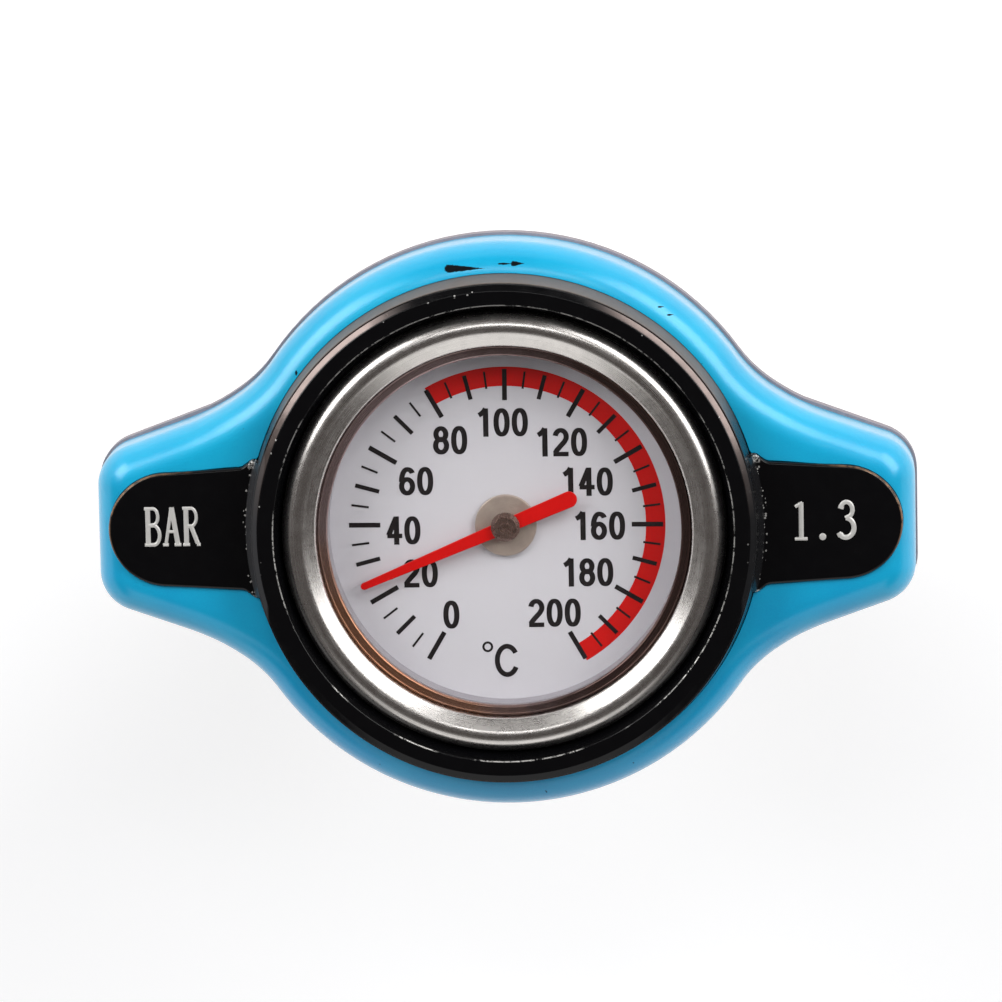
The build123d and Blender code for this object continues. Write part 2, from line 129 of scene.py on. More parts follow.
# A wall between two grids of points. Where keep is false a cell is left out, and each open edge gets a wall.
def sheet(outer, inner, keep=None, wrapRows=True):
    rows, columns = outer.shape[:2]
    cellRows = rows if wrapRows else rows - 1
    if keep is None:
        keep = np.ones((cellRows, columns - 1), bool)
    i, j = np.meshgrid(np.arange(cellRows), np.arange(columns - 1), indexing="ij")
    nextI = (i + 1) % rows
    a, b, c, d = i * columns + j, nextI * columns + j, nextI * columns + j + 1, i * columns + j + 1
    under = rows * columns
    empty = np.zeros((cellRows, 1), bool)
    openLow = keep & ~np.hstack([empty, keep[:, :-1]])
    openHigh = keep & ~np.hstack([keep[:, 1:], empty])
    if wrapRows:
        openBack, openFront = keep & ~np.roll(keep, 1, 0), keep & ~np.roll(keep, -1, 0)
    else:
        side = np.zeros((1, columns - 1), bool)
        openBack = keep & ~np.vstack([side, keep[:-1]])
        openFront = keep & ~np.vstack([keep[1:], side])
    faces = [np.stack([a, b, c, d], 2)[keep], np.stack([d, c, b, a], 2)[keep] + under]
    for opening, start, end in ((openLow, b, a), (openHigh, d, c), (openFront, c, b), (openBack, a, d)):
        faces.append(np.stack([start, end, end + under, start + under], 2)[opening])
    faces = np.concatenate(faces)
    used, faces = np.unique(faces, return_inverse=True)
    points = np.concatenate([outer.reshape(-1, 3), inner.reshape(-1, 3)])[used]
    return points, faces.reshape(-1, 4)


# Six times the volume inside quads: the sum of p0 . (p1 x p2) over their triangles.
def volumeOf(points, faces):
    p = points[faces]
    first = np.einsum("ij,ij->i", p[:, 0], np.cross(p[:, 1], p[:, 2]))
    second = np.einsum("ij,ij->i", p[:, 0], np.cross(p[:, 2], p[:, 3]))
    return float(np.sum(first) + np.sum(second))


# A closed section carried along a route: route + across * section x + up * section y.
# across and up are one direction each per point, and section is (points, columns, 2) or (columns, 2).
def carried(route, across, up, section, closedRoute=False):
    section = np.broadcast_to(section, (len(route),) + section.shape[-2:])
    points = route[:, None] + across[:, None] * section[..., :1] + up[:, None] * section[..., 1:]
    shape = grid(points, wrapRows=closedRoute, wrapColumns=True)
    if closedRoute:
        return shape
    ends = np.concatenate([points[0].mean(0)[None], points[-1].mean(0)[None]])
    columns = points.shape[1]
    j = np.arange(columns)
    nextJ, last = (j + 1) % columns, (len(route) - 1) * columns
    hubs = len(route) * columns
    capA = np.stack([np.full(columns, hubs), j, nextJ, nextJ], 1)
    capB = np.stack([np.full(columns, hubs + 1), last + nextJ, last + j, last + j], 1)
    return np.concatenate([shape[0], ends]), np.concatenate([shape[1], capA, capB])


# Joins shapes into one mesh, turns each the right way out, gives it its body and finish, and hides the nodes it stands
# for.
def addPiece(name, shapes, body, finish, nodes=(), sharp=38.0, bevel=0.0, merge=False):
    allPoints, allFaces, first = [], [], 0
    for points, faces in shapes:
        faces = faces if volumeOf(points, faces) > 0 else faces[:, ::-1]
        allPoints.append(points)
        allFaces.append(faces + first)
        first += len(points)
    points, faces = np.concatenate(allPoints) * mm, np.concatenate(allFaces)
    mesh = bpy.data.meshes.new(name)
    mesh.from_pydata(points.tolist(), [], [tuple(dict.fromkeys(face)) for face in faces.tolist()])
    if merge:
        mergeDoubles(mesh)
    return placeMesh(name, mesh, body, finish, nodes, sharp, bevel)


def mergeDoubles(mesh, distance=2e-7):
    work = bmesh.new()
    work.from_mesh(mesh)
    bmesh.ops.remove_doubles(work, verts=work.verts, dist=distance)
    bmesh.ops.dissolve_degenerate(work, dist=distance / 2, edges=work.edges)
    work.to_mesh(mesh)
    work.free()


def placeMesh(name, mesh, body, finish, nodes=(), sharp=38.0, bevel=0.0, even=False):
    mesh.validate()
    if "custom_normal" in mesh.attributes:
        mesh.attributes.remove(mesh.attributes["custom_normal"])
    mesh.shade_smooth()
    mesh.set_sharp_from_angle(angle=radians(sharp))
    mesh.materials.clear()
    mesh.materials.append(finish)
    piece = bpy.data.objects.new(name, mesh)
    bpy.context.scene.collection.objects.link(piece)
    if bevel:
        edge = piece.modifiers.new("edge", "BEVEL")
        edge.width, edge.segments, edge.limit_method = bevel * mm, 2, "ANGLE"
        edge.angle_limit, edge.harden_normals = radians(50), True
    if even:
        normals = piece.modifiers.new("normals", "WEIGHTED_NORMAL")
        normals.weight, normals.keep_sharp = 100, True
    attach(piece, body)
    if nodes:
        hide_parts(*nodes)
    return piece


# A node's own shape with its loose triangles joined, so that its round faces can be shaded smoothly.
def smoothCopy(name, node, body, finish, sharp=32.0):
    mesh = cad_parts[node].data.copy()
    mergeDoubles(mesh, 1e-6)
    return placeMesh(name, mesh, body, finish, (node,), sharp, even=True)


# Finishes

# One shader node. An input is given a number, a colour or another node's socket.
def addNode(tree, kind, inputs=None, **settings):
    made = tree.nodes.new("ShaderNode" + kind)
    for key, value in settings.items():
        setattr(made, key, value)
    for key, value in (inputs or {}).items():
        if isinstance(value, bpy.types.NodeSocket):
            tree.links.new(value, made.inputs[key])
        else:
            made.inputs[key].default_value = value
    return made


# One Math node, as its output socket.
def calculate(tree, operation, *values, clamp=False):
    inputs = dict(enumerate(values))
    return addNode(tree, "Math", inputs, operation=operation, use_clamp=clamp).outputs[0]


def mixColour(tree, share, first, second, blend="MIX"):
    made = addNode(tree, "Mix", data_type="RGBA", blend_type=blend)
    for key, value in ((0, share), (6, first), (7, second)):
        if isinstance(value, bpy.types.NodeSocket):
            tree.links.new(value, made.inputs[key])
        else:
            made.inputs[key].default_value = value
    return made.outputs[2]


# Takes value from low..high to outLow..outHigh, held at both ends.
def remap(tree, value, low, high, outLow=0.0, outHigh=1.0, smooth=False):
    style = "SMOOTHSTEP" if smooth else "LINEAR"
    inputs = {"Value": value, "From Min": low, "From Max": high, "To Min": outLow, "To Max": outHigh}
    return addNode(tree, "MapRange", inputs, interpolation_type=style, clamp=True).outputs[0]


# 1 within half of centre, falling to 0 over soft.
def band(tree, value, centre, half, soft):
    away = calculate(tree, "ABSOLUTE", calculate(tree, "SUBTRACT", value, centre))
    return remap(tree, away, half, half + soft, 1.0, 0.0, smooth=True)


# An 8-bit screen colour as linear light.
def colour(red, green, blue):
    def linear(value):
        share = value / 255
        return share / 12.92 if share <= 0.04045 else ((share + 0.055) / 1.055) ** 2.4
    return (linear(red), linear(green), linear(blue), 1.0)


# A new material with its shader, and the object's coordinates in millimetres split into x, y, z and radius.
def startFinish(name, base, roughness, metallic=0.0, **more):
    material = bpy.data.materials.new(name)
    material.use_nodes = True
    tree = material.node_tree
    shader = tree.nodes["Principled BSDF"]
    shader.inputs["Base Color"].default_value = base
    shader.inputs["Roughness"].default_value = roughness
    shader.inputs["Metallic"].default_value = metallic
    for key, value in more.items():
        shader.inputs[key].default_value = value
    place = addNode(tree, "VectorMath", {0: addNode(tree, "TexCoord").outputs["Object"], "Scale": 1 / mm},
                    operation="SCALE").outputs[0]
    split = addNode(tree, "SeparateXYZ", {0: place})
    flat = addNode(tree, "CombineXYZ", {0: split.outputs[0], 1: split.outputs[1]}).outputs[0]
    radius = addNode(tree, "VectorMath", {0: flat}, operation="LENGTH").outputs["Value"]
    parts = {"tree": tree, "shader": shader, "place": place, "x": split.outputs[0], "y": split.outputs[1],
             "z": split.outputs[2], "radius": radius, "flat": flat}
    return material, parts


# Noise with that many cycles a millimetre, from 0 to 1.
def noise(parts, scale, detail=2.0, roughness=0.5, place=None, distortion=0.0):
    inputs = {"Vector": place or parts["place"], "Scale": scale, "Detail": detail, "Roughness": roughness,
              "Distortion": distortion}
    return addNode(parts["tree"], "TexNoise", inputs).outputs["Fac"]


# Coordinates for marks left by turning: slow round the axis, quick along the radius and height.
def turnedPlace(parts, along, across):
    tree = parts["tree"]
    way = addNode(tree, "VectorMath", {0: parts["flat"]}, operation="NORMALIZE").outputs[0]
    way = addNode(tree, "VectorMath", {0: way, "Scale": along}, operation="SCALE").outputs[0]
    depth = calculate(tree, "ADD", parts["radius"], calculate(tree, "MULTIPLY", parts["z"], 0.83))
    rise = addNode(tree, "CombineXYZ", {2: calculate(tree, "MULTIPLY", depth, across)}).outputs[0]
    return addNode(tree, "VectorMath", {0: way, 1: rise}, operation="ADD").outputs[0]


def link(parts, socket, name):
    parts["tree"].links.new(socket, parts["shader"].inputs[name])


def bump(parts, height, strength, distance):
    made = addNode(parts["tree"], "Bump", {"Height": height, "Strength": strength, "Distance": distance * mm})
    link(parts, made.outputs[0], "Normal")


coverFinish = {
    "blue": colour(0, 188, 236), "deepBlueAndShade": colour(0, 154, 216), "roughness": 0.42, "metallic": 0.12,
    "chip": colour(8, 16, 20), "grain": 9.0, "coat": 1.0, "coatIndex": 1.6, "coatRoughness": 0.25, "gloss": 0.1,
}


# Satin metallic blue, a little uneven, with painted shade that deepens the blue towards the bottom (-y), and chips in
# the coat near the ring.
def coverPaint():
    name, values = "coverBlue", coverFinish
    material, parts = startFinish(name, values["blue"], values["roughness"], values["metallic"])
    parts["shader"].inputs["Specular IOR Level"].default_value = values["gloss"]
    parts["shader"].inputs["Coat Roughness"].default_value = values["coatRoughness"]
    parts["shader"].inputs["Coat IOR"].default_value = values["coatIndex"]
    tree = parts["tree"]
    cloud = remap(tree, noise(parts, 0.16, 3.0), 0.35, 0.65, 0.0, 0.3)
    # Painted shade: the share of the deeper blue grows towards -y, the lower side, where less light falls; the cloud
    # adds random unevenness.
    lower = remap(tree, parts["y"], 8.0, -22.0, 0.0, 0.7)
    coat = mixColour(tree, calculate(tree, "ADD", cloud, lower), values["blue"], values["deepBlueAndShade"])
    fine = noise(parts, values["grain"], 2.0)
    coat = mixColour(tree, remap(tree, fine, 0.2, 0.8, 0.0, 0.3), coat, colour(10, 206, 244))
    chips = paintChips(parts)
    link(parts, mixColour(tree, chips, coat, values["chip"]), "Base Color")
    sound = calculate(tree, "SUBTRACT", 1.0, chips)
    link(parts, calculate(tree, "MULTIPLY", values["coat"], sound), "Coat Weight")
    link(parts, calculate(tree, "MULTIPLY", values["metallic"], sound), "Metallic")
    rough = remap(tree, noise(parts, 2.2, 3.0), 0.3, 0.7, values["roughness"] - 0.04, values["roughness"] + 0.05)
    link(parts, mixValue(tree, chips, rough, 0.6), "Roughness")
    low = calculate(tree, "SUBTRACT", calculate(tree, "MULTIPLY", fine, 0.25), chips)
    bump(parts, low, 0.25, 0.04)
    return material


def mixValue(tree, share, first, second):
    made = addNode(tree, "Mix", data_type="FLOAT")
    for key, value in ((0, share), (2, first), (3, second)):
        if isinstance(value, bpy.types.NodeSocket):
            tree.links.new(value, made.inputs[key])
        else:
            made.inputs[key].default_value = value
    return made.outputs[0]


chipMarks = (             # x, y, half length, half width, tail to the right
    (-4.45, 22.82, 0.42, 0.36, 2.9),
    (1.16, 23.18, 0.24, 0.24, 0.75),
    (0.35, 23.18, 0.60, 0.09, 0.2),
    (13.8, 19.2, 0.20, 0.08, 0.2),
    (14.6, 18.5, 0.24, 0.08, 0.2),
    (-17.9, 13.9, 0.12, 0.26, 0.0),
)


# Share of chipped coat: an ellipse for each mark, drawn out to a tail, with a ragged edge.
def paintChips(parts):
    tree = parts["tree"]
    ragged = calculate(tree, "MULTIPLY", calculate(tree, "SUBTRACT", noise(parts, 6.0, 4.0, 0.75), 0.5), 1.7)
    total = None
    for x, y, halfLength, halfWidth, tail in chipMarks:
        dx = calculate(tree, "SUBTRACT", parts["x"], x)
        right = calculate(tree, "MAXIMUM", dx, 0.0)
        left = calculate(tree, "MINIMUM", dx, 0.0)
        along = calculate(tree, "ADD", calculate(tree, "DIVIDE", left, halfLength),
                          calculate(tree, "DIVIDE", right, halfLength + tail))
        narrow = remap(tree, right, 0.0, halfLength + tail, halfWidth, halfWidth * 0.12)
        across = calculate(tree, "DIVIDE", calculate(tree, "SUBTRACT", parts["y"], y), narrow)
        size = calculate(tree, "ADD", calculate(tree, "MULTIPLY", along, along),
                         calculate(tree, "MULTIPLY", across, across))
        mark = remap(tree, calculate(tree, "ADD", size, ragged), 0.75, 1.0, 1.0, 0.0)
        total = mark if total is None else calculate(tree, "MAXIMUM", total, mark)
    specks = remap(tree, noise(parts, 1.7, 1.0), 0.80, 0.815)
    nearRing = band(tree, parts["radius"], 23.0, 0.6, 1.2)
    return calculate(tree, "MAXIMUM", total, calculate(tree, "MULTIPLY", specks, nearRing))


blackFinish = {
    "black": colour(9, 9, 11), "roughness": 0.18, "gloss": 0.3, "taupeLitSide": colour(122, 110, 102),
    "flange": colour(160, 150, 158), "bevelHighlight": colour(116, 104, 100),
    "root": colour(58, 58, 60), "bronze": colour(150, 116, 88), "scratch": colour(214, 212, 208),
}


# Small separate dots: within a size of a cell's point, in a share of the cells.
def specks(parts, place, scale, size, share):
    tree = parts["tree"]
    cells = addNode(tree, "TexVoronoi", {"Vector": place, "Scale": scale})
    chance = addNode(tree, "SeparateColor", {0: cells.outputs["Color"]}).outputs[0]
    near = remap(tree, cells.outputs["Distance"], size * 0.6, size, 1.0, 0.0)
    return calculate(tree, "MULTIPLY", near, calculate(tree, "LESS_THAN", chance, share))


# Gloss black, with painted light and reflection: a dull taupe wall lit only on the ring's upper side, a grey flange
# that is painted reflection, darker pad roots that are painted reflection, bronze wear on the pads' ends with painted
# highlight, a pinkish painted highlight on the ring's bevel, and bright nicks along the rims.
def blackPaint():
    values = blackFinish
    material, parts = startFinish("castingBlack", values["black"], values["roughness"])
    parts["shader"].inputs["Specular IOR Level"].default_value = values["gloss"]
    tree = parts["tree"]
    x, y, z, radius = parts["x"], parts["y"], parts["z"], parts["radius"]
    ragged = noise(parts, 1.3, 4.0, 0.65)
    fine = noise(parts, 6.0, 3.0, 0.6)

    def both(*shares):
        total = shares[0]
        for share in shares[1:]:
            total = calculate(tree, "MULTIPLY", total, share)
        return total

    # Painted light: the ring's wall gets a dull taupe only on its upper side, where the lamps fall; towards the sides
    # it fades back to black.
    ringWall = both(remap(tree, radius, 21.87, 21.92), remap(tree, radius, 22.5, 22.45), remap(tree, z, 9.2, 9.3),
                    remap(tree, z, 12.76, 12.70))
    upward = calculate(tree, "DIVIDE", y, radius)
    taupeLitSide = both(ringWall, remap(tree, upward, 0.30, 0.62, smooth=True))
    # Painted reflection: the flange's side is grey-mauve, standing in for the glossy black's reflection of the bright
    # surroundings.
    flange = both(remap(tree, z, 2.58, 2.54), remap(tree, z, 0.80, 0.83))
    away = calculate(tree, "ABSOLUTE", x)
    # Painted reflection: the cove where each pad meets the ring is dark grey, stronger on the left pad (-x), for light
    # caught by its slope.
    root = both(remap(tree, radius, 21.40, 21.46), remap(tree, radius, 22.66, 22.60), remap(tree, z, 9.9, 9.95),
                remap(tree, away, 20.5, 20.7), remap(tree, x, 2.0, -2.0, 0.25, 1.0))
    tone = remap(tree, ragged, 0.3, 0.7, 0.0, 0.22)
    paint = mixColour(tree, root, values["black"], values["root"])
    paint = mixColour(tree, taupeLitSide, paint, mixColour(tree, tone, values["taupeLitSide"], values["root"]))
    paint = mixColour(tree, flange, paint, mixColour(tree, tone, values["flange"], values["root"]))

    # Bronze on the outer bevel of the pads' ends: wear, with painted highlight, kept to the upper side (y above -3)
    # where the lamps catch it.
    wearAndHighlight = both(band(tree, z, 9.84, 0.10, 0.04), remap(tree, away, 27.0, 31.0), remap(tree, y, -3.0, 1.5),
                remap(tree, ragged, 0.36, 0.56))
    paint = mixColour(tree, wearAndHighlight, paint, values["bronze"])

    turnedWay = turnedPlace(parts, 30.0, 1.0)
    patches = remap(tree, noise(parts, 0.16, 2.0), 0.44, 0.52)
    lower = remap(tree, upward, 0.35, -0.1, 0.35, 1.0)
    line = both(band(tree, radius, 20.02, 0.03, 0.06), remap(tree, z, 13.1, 13.16), patches, lower,
                remap(tree, noise(parts, 1.6, 3.0, 0.7, turnedWay), 0.42, 0.50))
    dots = both(specks(parts, parts["place"], 2.6, 0.24, 0.16), band(tree, radius, 21.25, 0.12, 0.1),
                remap(tree, z, 12.9, 13.0), remap(tree, upward, -0.2, 0.3))
    seam = both(specks(parts, parts["place"], 3.0, 0.32, 0.75), band(tree, radius, 22.72, 0.12, 0.06),
                remap(tree, z, 9.9, 9.95), remap(tree, calculate(tree, "ABSOLUTE", y), 6.7, 6.6))
    ears = both(band(tree, radius, 22.75, 0.22, 0.1), band(tree, calculate(tree, "ABSOLUTE", y), 6.0, 0.3, 0.15),
                remap(tree, z, 9.7, 9.8), remap(tree, fine, 0.46, 0.56))
    nicks = calculate(tree, "MAXIMUM", calculate(tree, "MAXIMUM", line, dots),
                      calculate(tree, "MAXIMUM", seam, ears))
    # Painted highlight: a pinkish metallic band along the ring's bevel, on the upper left and upper right.
    bevelHighlight = both(band(tree, radius, 21.60, 0.18, 0.1), remap(tree, z, 12.85, 12.9), remap(tree, upward, 0.05, 0.4),
                  band(tree, away, 15.5, 3.5, 5.0))
    paint = mixColour(tree, bevelHighlight, paint, values["bevelHighlight"])
    paint = mixColour(tree, nicks, paint, values["scratch"])
    link(parts, paint, "Base Color")

    metal = calculate(tree, "MAXIMUM", calculate(tree, "MULTIPLY", nicks, 0.5), calculate(tree, "MULTIPLY", wearAndHighlight, 0.5))
    metal = calculate(tree, "MAXIMUM", metal, calculate(tree, "MULTIPLY", bevelHighlight, 0.7))
    link(parts, metal, "Metallic")
    smear = remap(tree, noise(parts, 0.7, 4.0, 0.6), 0.3, 0.75, values["roughness"] - 0.05, values["roughness"] + 0.1)
    dull = calculate(tree, "MAXIMUM", calculate(tree, "MAXIMUM", taupeLitSide, flange), calculate(tree, "MULTIPLY", root, 0.6))
    link(parts, mixValue(tree, dull, smear, 0.5), "Roughness")
    relief = calculate(tree, "ADD", calculate(tree, "MULTIPLY", nicks, 0.8), calculate(tree, "MULTIPLY", fine, 0.12))
    bump(parts, relief, 0.3, 0.03)
    return material


# Metal with fine marks round the axis and soft cloudy patches, in colour, roughness and relief.
def turnedMetal(name, base, roughness, mottle=0.0, brush=0.1, along=3.0, across=14.0, spread=0.08, metallic=1.0):
    material, parts = startFinish(name, base, roughness, metallic)
    tree = parts["tree"]
    rings = noise(parts, 1.0, 3.0, 0.6, turnedPlace(parts, along, across))
    cloud = noise(parts, 0.9, 4.0, 0.6)
    dark = tuple(c * 0.72 for c in base[:3]) + (1.0,)
    shade = calculate(tree, "ADD", calculate(tree, "MULTIPLY", remap(tree, rings, 0.3, 0.7), brush * 3),
                      calculate(tree, "MULTIPLY", remap(tree, cloud, 0.35, 0.7), mottle), clamp=True)
    link(parts, mixColour(tree, shade, base, dark), "Base Color")
    both = calculate(tree, "ADD", calculate(tree, "MULTIPLY", rings, 0.6), calculate(tree, "MULTIPLY", cloud, 0.4))
    link(parts, remap(tree, both, 0.3, 0.7, roughness - spread, roughness + spread), "Roughness")
    bump(parts, rings, brush, 0.03)
    return material


# Copper-coloured plating with painted reflection round it: mauve towards the upper left, orange-brown low on the left,
# dark on the right, as the lamps fall on each side.
def copperPlate():
    material, parts = startFinish("copperRing", colour(150, 122, 118), 0.26, 0.85)
    tree = parts["tree"]
    right = calculate(tree, "DIVIDE", parts["x"], parts["radius"])
    upward = calculate(tree, "DIVIDE", parts["y"], parts["radius"])
    uneven = calculate(tree, "MULTIPLY", calculate(tree, "SUBTRACT", noise(parts, 0.25, 3.0), 0.5), 0.8)
    across = calculate(tree, "ADD", right, uneven)
    along = calculate(tree, "ADD", upward, uneven)
    # Painted reflection: the tone changes with the side of the ring, from light mauve on the left to dark on the right.
    tone = mixColour(tree, remap(tree, across, -0.5, 0.5, smooth=True), colour(196, 172, 172), colour(96, 76, 72))
    low = calculate(tree, "MULTIPLY", remap(tree, along, 0.1, -0.5), remap(tree, across, 0.1, -0.4))
    tone = mixColour(tree, low, tone, colour(190, 136, 106))
    rings = noise(parts, 1.0, 3.0, 0.6, turnedPlace(parts, 3.0, 14.0))
    link(parts, mixColour(tree, remap(tree, rings, 0.35, 0.7, 0.0, 0.5), tone, colour(84, 64, 58)), "Base Color")
    link(parts, remap(tree, rings, 0.3, 0.7, 0.2, 0.36), "Roughness")
    bump(parts, rings, 0.12, 0.03)
    return material


# A plain coat or moulding with a fine grain in colour, roughness and relief.
def plainSurface(name, base, roughness, grain=4.0, tint=0.12, depth=0.1, metallic=0.0, gloss=0.5):
    material, parts = startFinish(name, base, roughness, metallic)
    parts["shader"].inputs["Specular IOR Level"].default_value = gloss
    tree = parts["tree"]
    fine = noise(parts, grain, 3.0, 0.6)
    cloud = noise(parts, grain / 12, 3.0)
    dark = tuple(c * 0.6 for c in base[:3]) + (1.0,)
    share = calculate(tree, "ADD", calculate(tree, "MULTIPLY", remap(tree, fine, 0.3, 0.7), tint),
                      calculate(tree, "MULTIPLY", remap(tree, cloud, 0.35, 0.65), tint))
    link(parts, mixColour(tree, share, base, dark), "Base Color")
    link(parts, remap(tree, fine, 0.3, 0.7, roughness - 0.04, roughness + 0.06), "Roughness")
    bump(parts, fine, depth, 0.03)
    return material


# Clear glass that lets lamp light through to the dial.
def clearGlass():
    material, parts = startFinish("lensGlass", (1.0, 1.0, 1.0, 1.0), 0.0, 0.0, IOR=1.45)
    parts["shader"].inputs["Transmission Weight"].default_value = 1.0
    tree = parts["tree"]
    lamp = addNode(tree, "BsdfTransparent")
    ray = addNode(tree, "LightPath")
    both = addNode(tree, "MixShader", {0: ray.outputs["Is Shadow Ray"], 1: parts["shader"].outputs[0],
                                       2: lamp.outputs[0]})
    output = tree.nodes["Material Output"]
    tree.links.new(both.outputs[0], output.inputs["Surface"])
    return material


finishes = {
    "cover": coverPaint(),
    "black": blackPaint(),
    "bezel": turnedMetal("bezelSteel", colour(236, 232, 228), 0.27, mottle=0.3, brush=0.10),
    "copper": copperPlate(),
    "nickel": turnedMetal("nickel", colour(186, 170, 158), 0.36, mottle=0.5, brush=0.12, metallic=0.45),
    "hub": turnedMetal("hubNickel", colour(138, 112, 102), 0.26, mottle=0.6, brush=0.12, metallic=0.8),
    "case": turnedMetal("caseSteel", colour(188, 190, 192), 0.28),
    "zinc": turnedMetal("zincSteel", colour(172, 174, 174), 0.30, mottle=0.6),
    "spring": turnedMetal("springSteel", colour(150, 152, 156), 0.30, mottle=0.3, along=6.0),
    "brass": turnedMetal("brass", colour(214, 178, 98), 0.28, mottle=0.35),
    "bimetal": turnedMetal("bimetal", colour(186, 158, 128), 0.34, mottle=0.4),
    "spacer": plainSurface("spacerGrey", colour(158, 154, 160), 0.5),
    "rubber": plainSurface("rubber", colour(34, 33, 33), 0.62, grain=3.0, depth=0.3),
    "plastic": plainSurface("guidePlastic", colour(226, 220, 204), 0.42),
    "dial": plainSurface("dialWhite", colour(206, 204, 209), 0.5, grain=5.0, tint=0.03, depth=0.05),
    "ink": plainSurface("printBlack", colour(24, 18, 20), 0.6, grain=6.0, tint=0.1, depth=0.05, gloss=0.2),
    "band": plainSurface("printRed", colour(208, 10, 6), 0.6, grain=5.0, tint=0.10, depth=0.05, gloss=0.2),
    "red": plainSurface("pointerRed", colour(204, 4, 2), 0.42, grain=2.5, tint=0.10, depth=0.12, gloss=0.18),
    "silver": plainSurface("markSilver", colour(232, 230, 226), 0.32, grain=6.0, tint=0.1, depth=0.15, metallic=0.35),
    "glass": clearGlass(),
}
print("finishes made")


# Plan of the body and wings

planValues = {
    "bodyR": 25.15, "endHalf": 6.7, "taper": 20.0, "cornerR": 4.0, "waistR": 12.0, "step": 0.11,
}


# Outline drawn in by an inset, with its outward normals, starting at the middle of the right end.
# A quarter is the end line, the corner arc, the straight side, the hollow waist arc and the body arc.
def wingOutline(inset):
    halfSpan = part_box("core_casting")[1].x / mm - inset
    slope = radians(planValues["taper"])
    side = (halfSpan + inset) * sin(slope) + planValues["endHalf"] * cos(slope) - inset
    bodyR, cornerR, waistR = planValues["bodyR"] - inset, planValues["cornerR"] - inset, planValues["waistR"] + inset
    away, along = np.array([sin(slope), cos(slope)]), np.array([cos(slope), -sin(slope)])
    corner = np.array([halfSpan - cornerR, (side - cornerR - (halfSpan - cornerR) * sin(slope)) / cos(slope)])
    waist = away * (side + waistR) + along * ((bodyR + waistR) ** 2 - (side + waistR) ** 2) ** 0.5
    sideEnd, sideStart = waist - away * waistR, corner + away * cornerR
    bodyFrom = atan2(waist[1], waist[0])

    def line(start, end, normal):
        share = steps(np.linalg.norm(end - start))
        return start + (end - start) * share, normal + 0 * share

    def arc(centre, radius, first, last, sign):
        angle = first + (last - first) * steps(abs(last - first) * radius)
        spoke = np.hstack([np.cos(angle), np.sin(angle)])
        return centre + radius * spoke, sign * spoke

    quarter = [
        line(np.array([halfSpan, 0.0]), np.array([halfSpan, corner[1]]), np.array([1.0, 0.0])),
        arc(corner, cornerR, 0.0, pi / 2 - slope, 1),
        line(sideStart, sideEnd, away),
        arc(waist, waistR, -pi / 2 - slope, bodyFrom - pi, -1),
        arc(np.zeros(2), bodyR, bodyFrom, pi / 2, 1),
    ]
    points = np.concatenate([part[0] for part in quarter])
    normals = np.concatenate([part[1] for part in quarter])
    for flip in ((-1, 1), (1, -1)):
        back, backNormals = points[::-1] * flip, normals[::-1] * flip
        if flip == (-1, 1):
            top = np.array([[0.0, bodyR]])
            points = np.concatenate([points, top, back[:-1]])
            normals = np.concatenate([normals, [[0.0, 1.0]], backNormals[:-1]])
            left = np.array([[-halfSpan, 0.0]])
            points, normals = np.concatenate([points, left]), np.concatenate([normals, [[-1.0, 0.0]]])
        else:
            points, normals = np.concatenate([points, back[1:-1]]), np.concatenate([normals, backNormals[1:-1]])
    return points, normals


# Shares of a stretch from 0 up to but not at 1, at the outline's step.
def steps(length):
    count = max(2, ceil(length / planValues["step"] / 1.6))
    return np.linspace(0, 1, count, endpoint=False)[:, None]


# Pads that show through the wings

padValues = {
    "endX": 34.65, "endHalf": 5.16, "rootHalf": 5.42, "flare": 0.68, "flareX": 21.95, "flareLength": 0.9,
    "innerX": 21.0, "edge": 0.3, "flareSoft": 0.9, "top": 10.0, "low": 8.15, "offY": 0.25,
}


# Outline of the right pad about its own middle line, grown all round: a small ear at the ring, then a
# slight taper to a round end.
def padPath(grow):
    values = padValues
    endR, endX = values["endHalf"] + grow, values["endX"] - values["endHalf"]
    root = values["rootHalf"] + grow
    flareEndX = values["flareX"] + values["flareLength"]
    tilt = atan2(root - endR, endX - flareEndX)
    upper = [(values["innerX"], root + values["flare"], 0), (values["flareX"], root + values["flare"], 0.08),
             (flareEndX, root, values["flareSoft"]), (endX + endR * sin(tilt), endR * cos(tilt), 0)]
    upper = rounded(upper, closed=False, stepAngle=5.0, hold=0.4)
    angle = np.linspace(pi / 2 - tilt, tilt - pi / 2, 72)
    end = np.stack([endX + endR * np.cos(angle), endR * np.sin(angle)], 1)
    return np.concatenate([upper[:-1], end, (upper[:-1] * (1, -1))[::-1]])


# Distance along each ray to a closed path, or a large number: both lines' crossing, by 2-D cross products.
def rayDistance(starts, ways, path):
    a, b = path, np.roll(path, -1, 0)
    edge = b - a
    cross = ways[:, None, 0] * edge[None, :, 1] - ways[:, None, 1] * edge[None, :, 0]
    gap = a[None] - starts[:, None]
    cross = np.where(np.abs(cross) < 1e-12, 1e-12, cross)
    reach = (gap[..., 0] * edge[None, :, 1] - gap[..., 1] * edge[None, :, 0]) / cross
    share = (gap[..., 0] * ways[:, None, 1] - gap[..., 1] * ways[:, None, 0]) / cross
    hit = (share >= -1e-9) & (share <= 1 + 1e-9) & (reach > 0)
    return np.where(hit, reach, 1e9).min(1)


wingValues = {"drawIn": 0.029, "from": 23.5, "to": 28.0}


# Draws the wings in a little: y is scaled by 1 - k s(|x|), where s rises smoothly from 0 to 1.
def drawnIn(points):
    share = np.clip((np.abs(points[..., 0]) - wingValues["from"]) / (wingValues["to"] - wingValues["from"]), 0, 1)
    drawn = points.copy()
    drawn[..., 1] *= 1 - wingValues["drawIn"] * share ** 2 * (3 - 2 * share)
    return drawn


coverValues = {"flangeStep": 0.22, "wall": 1.2, "shoulderR": 3.0, "trim": 0.03, "rows": 22, "ringFootR": 22.35}


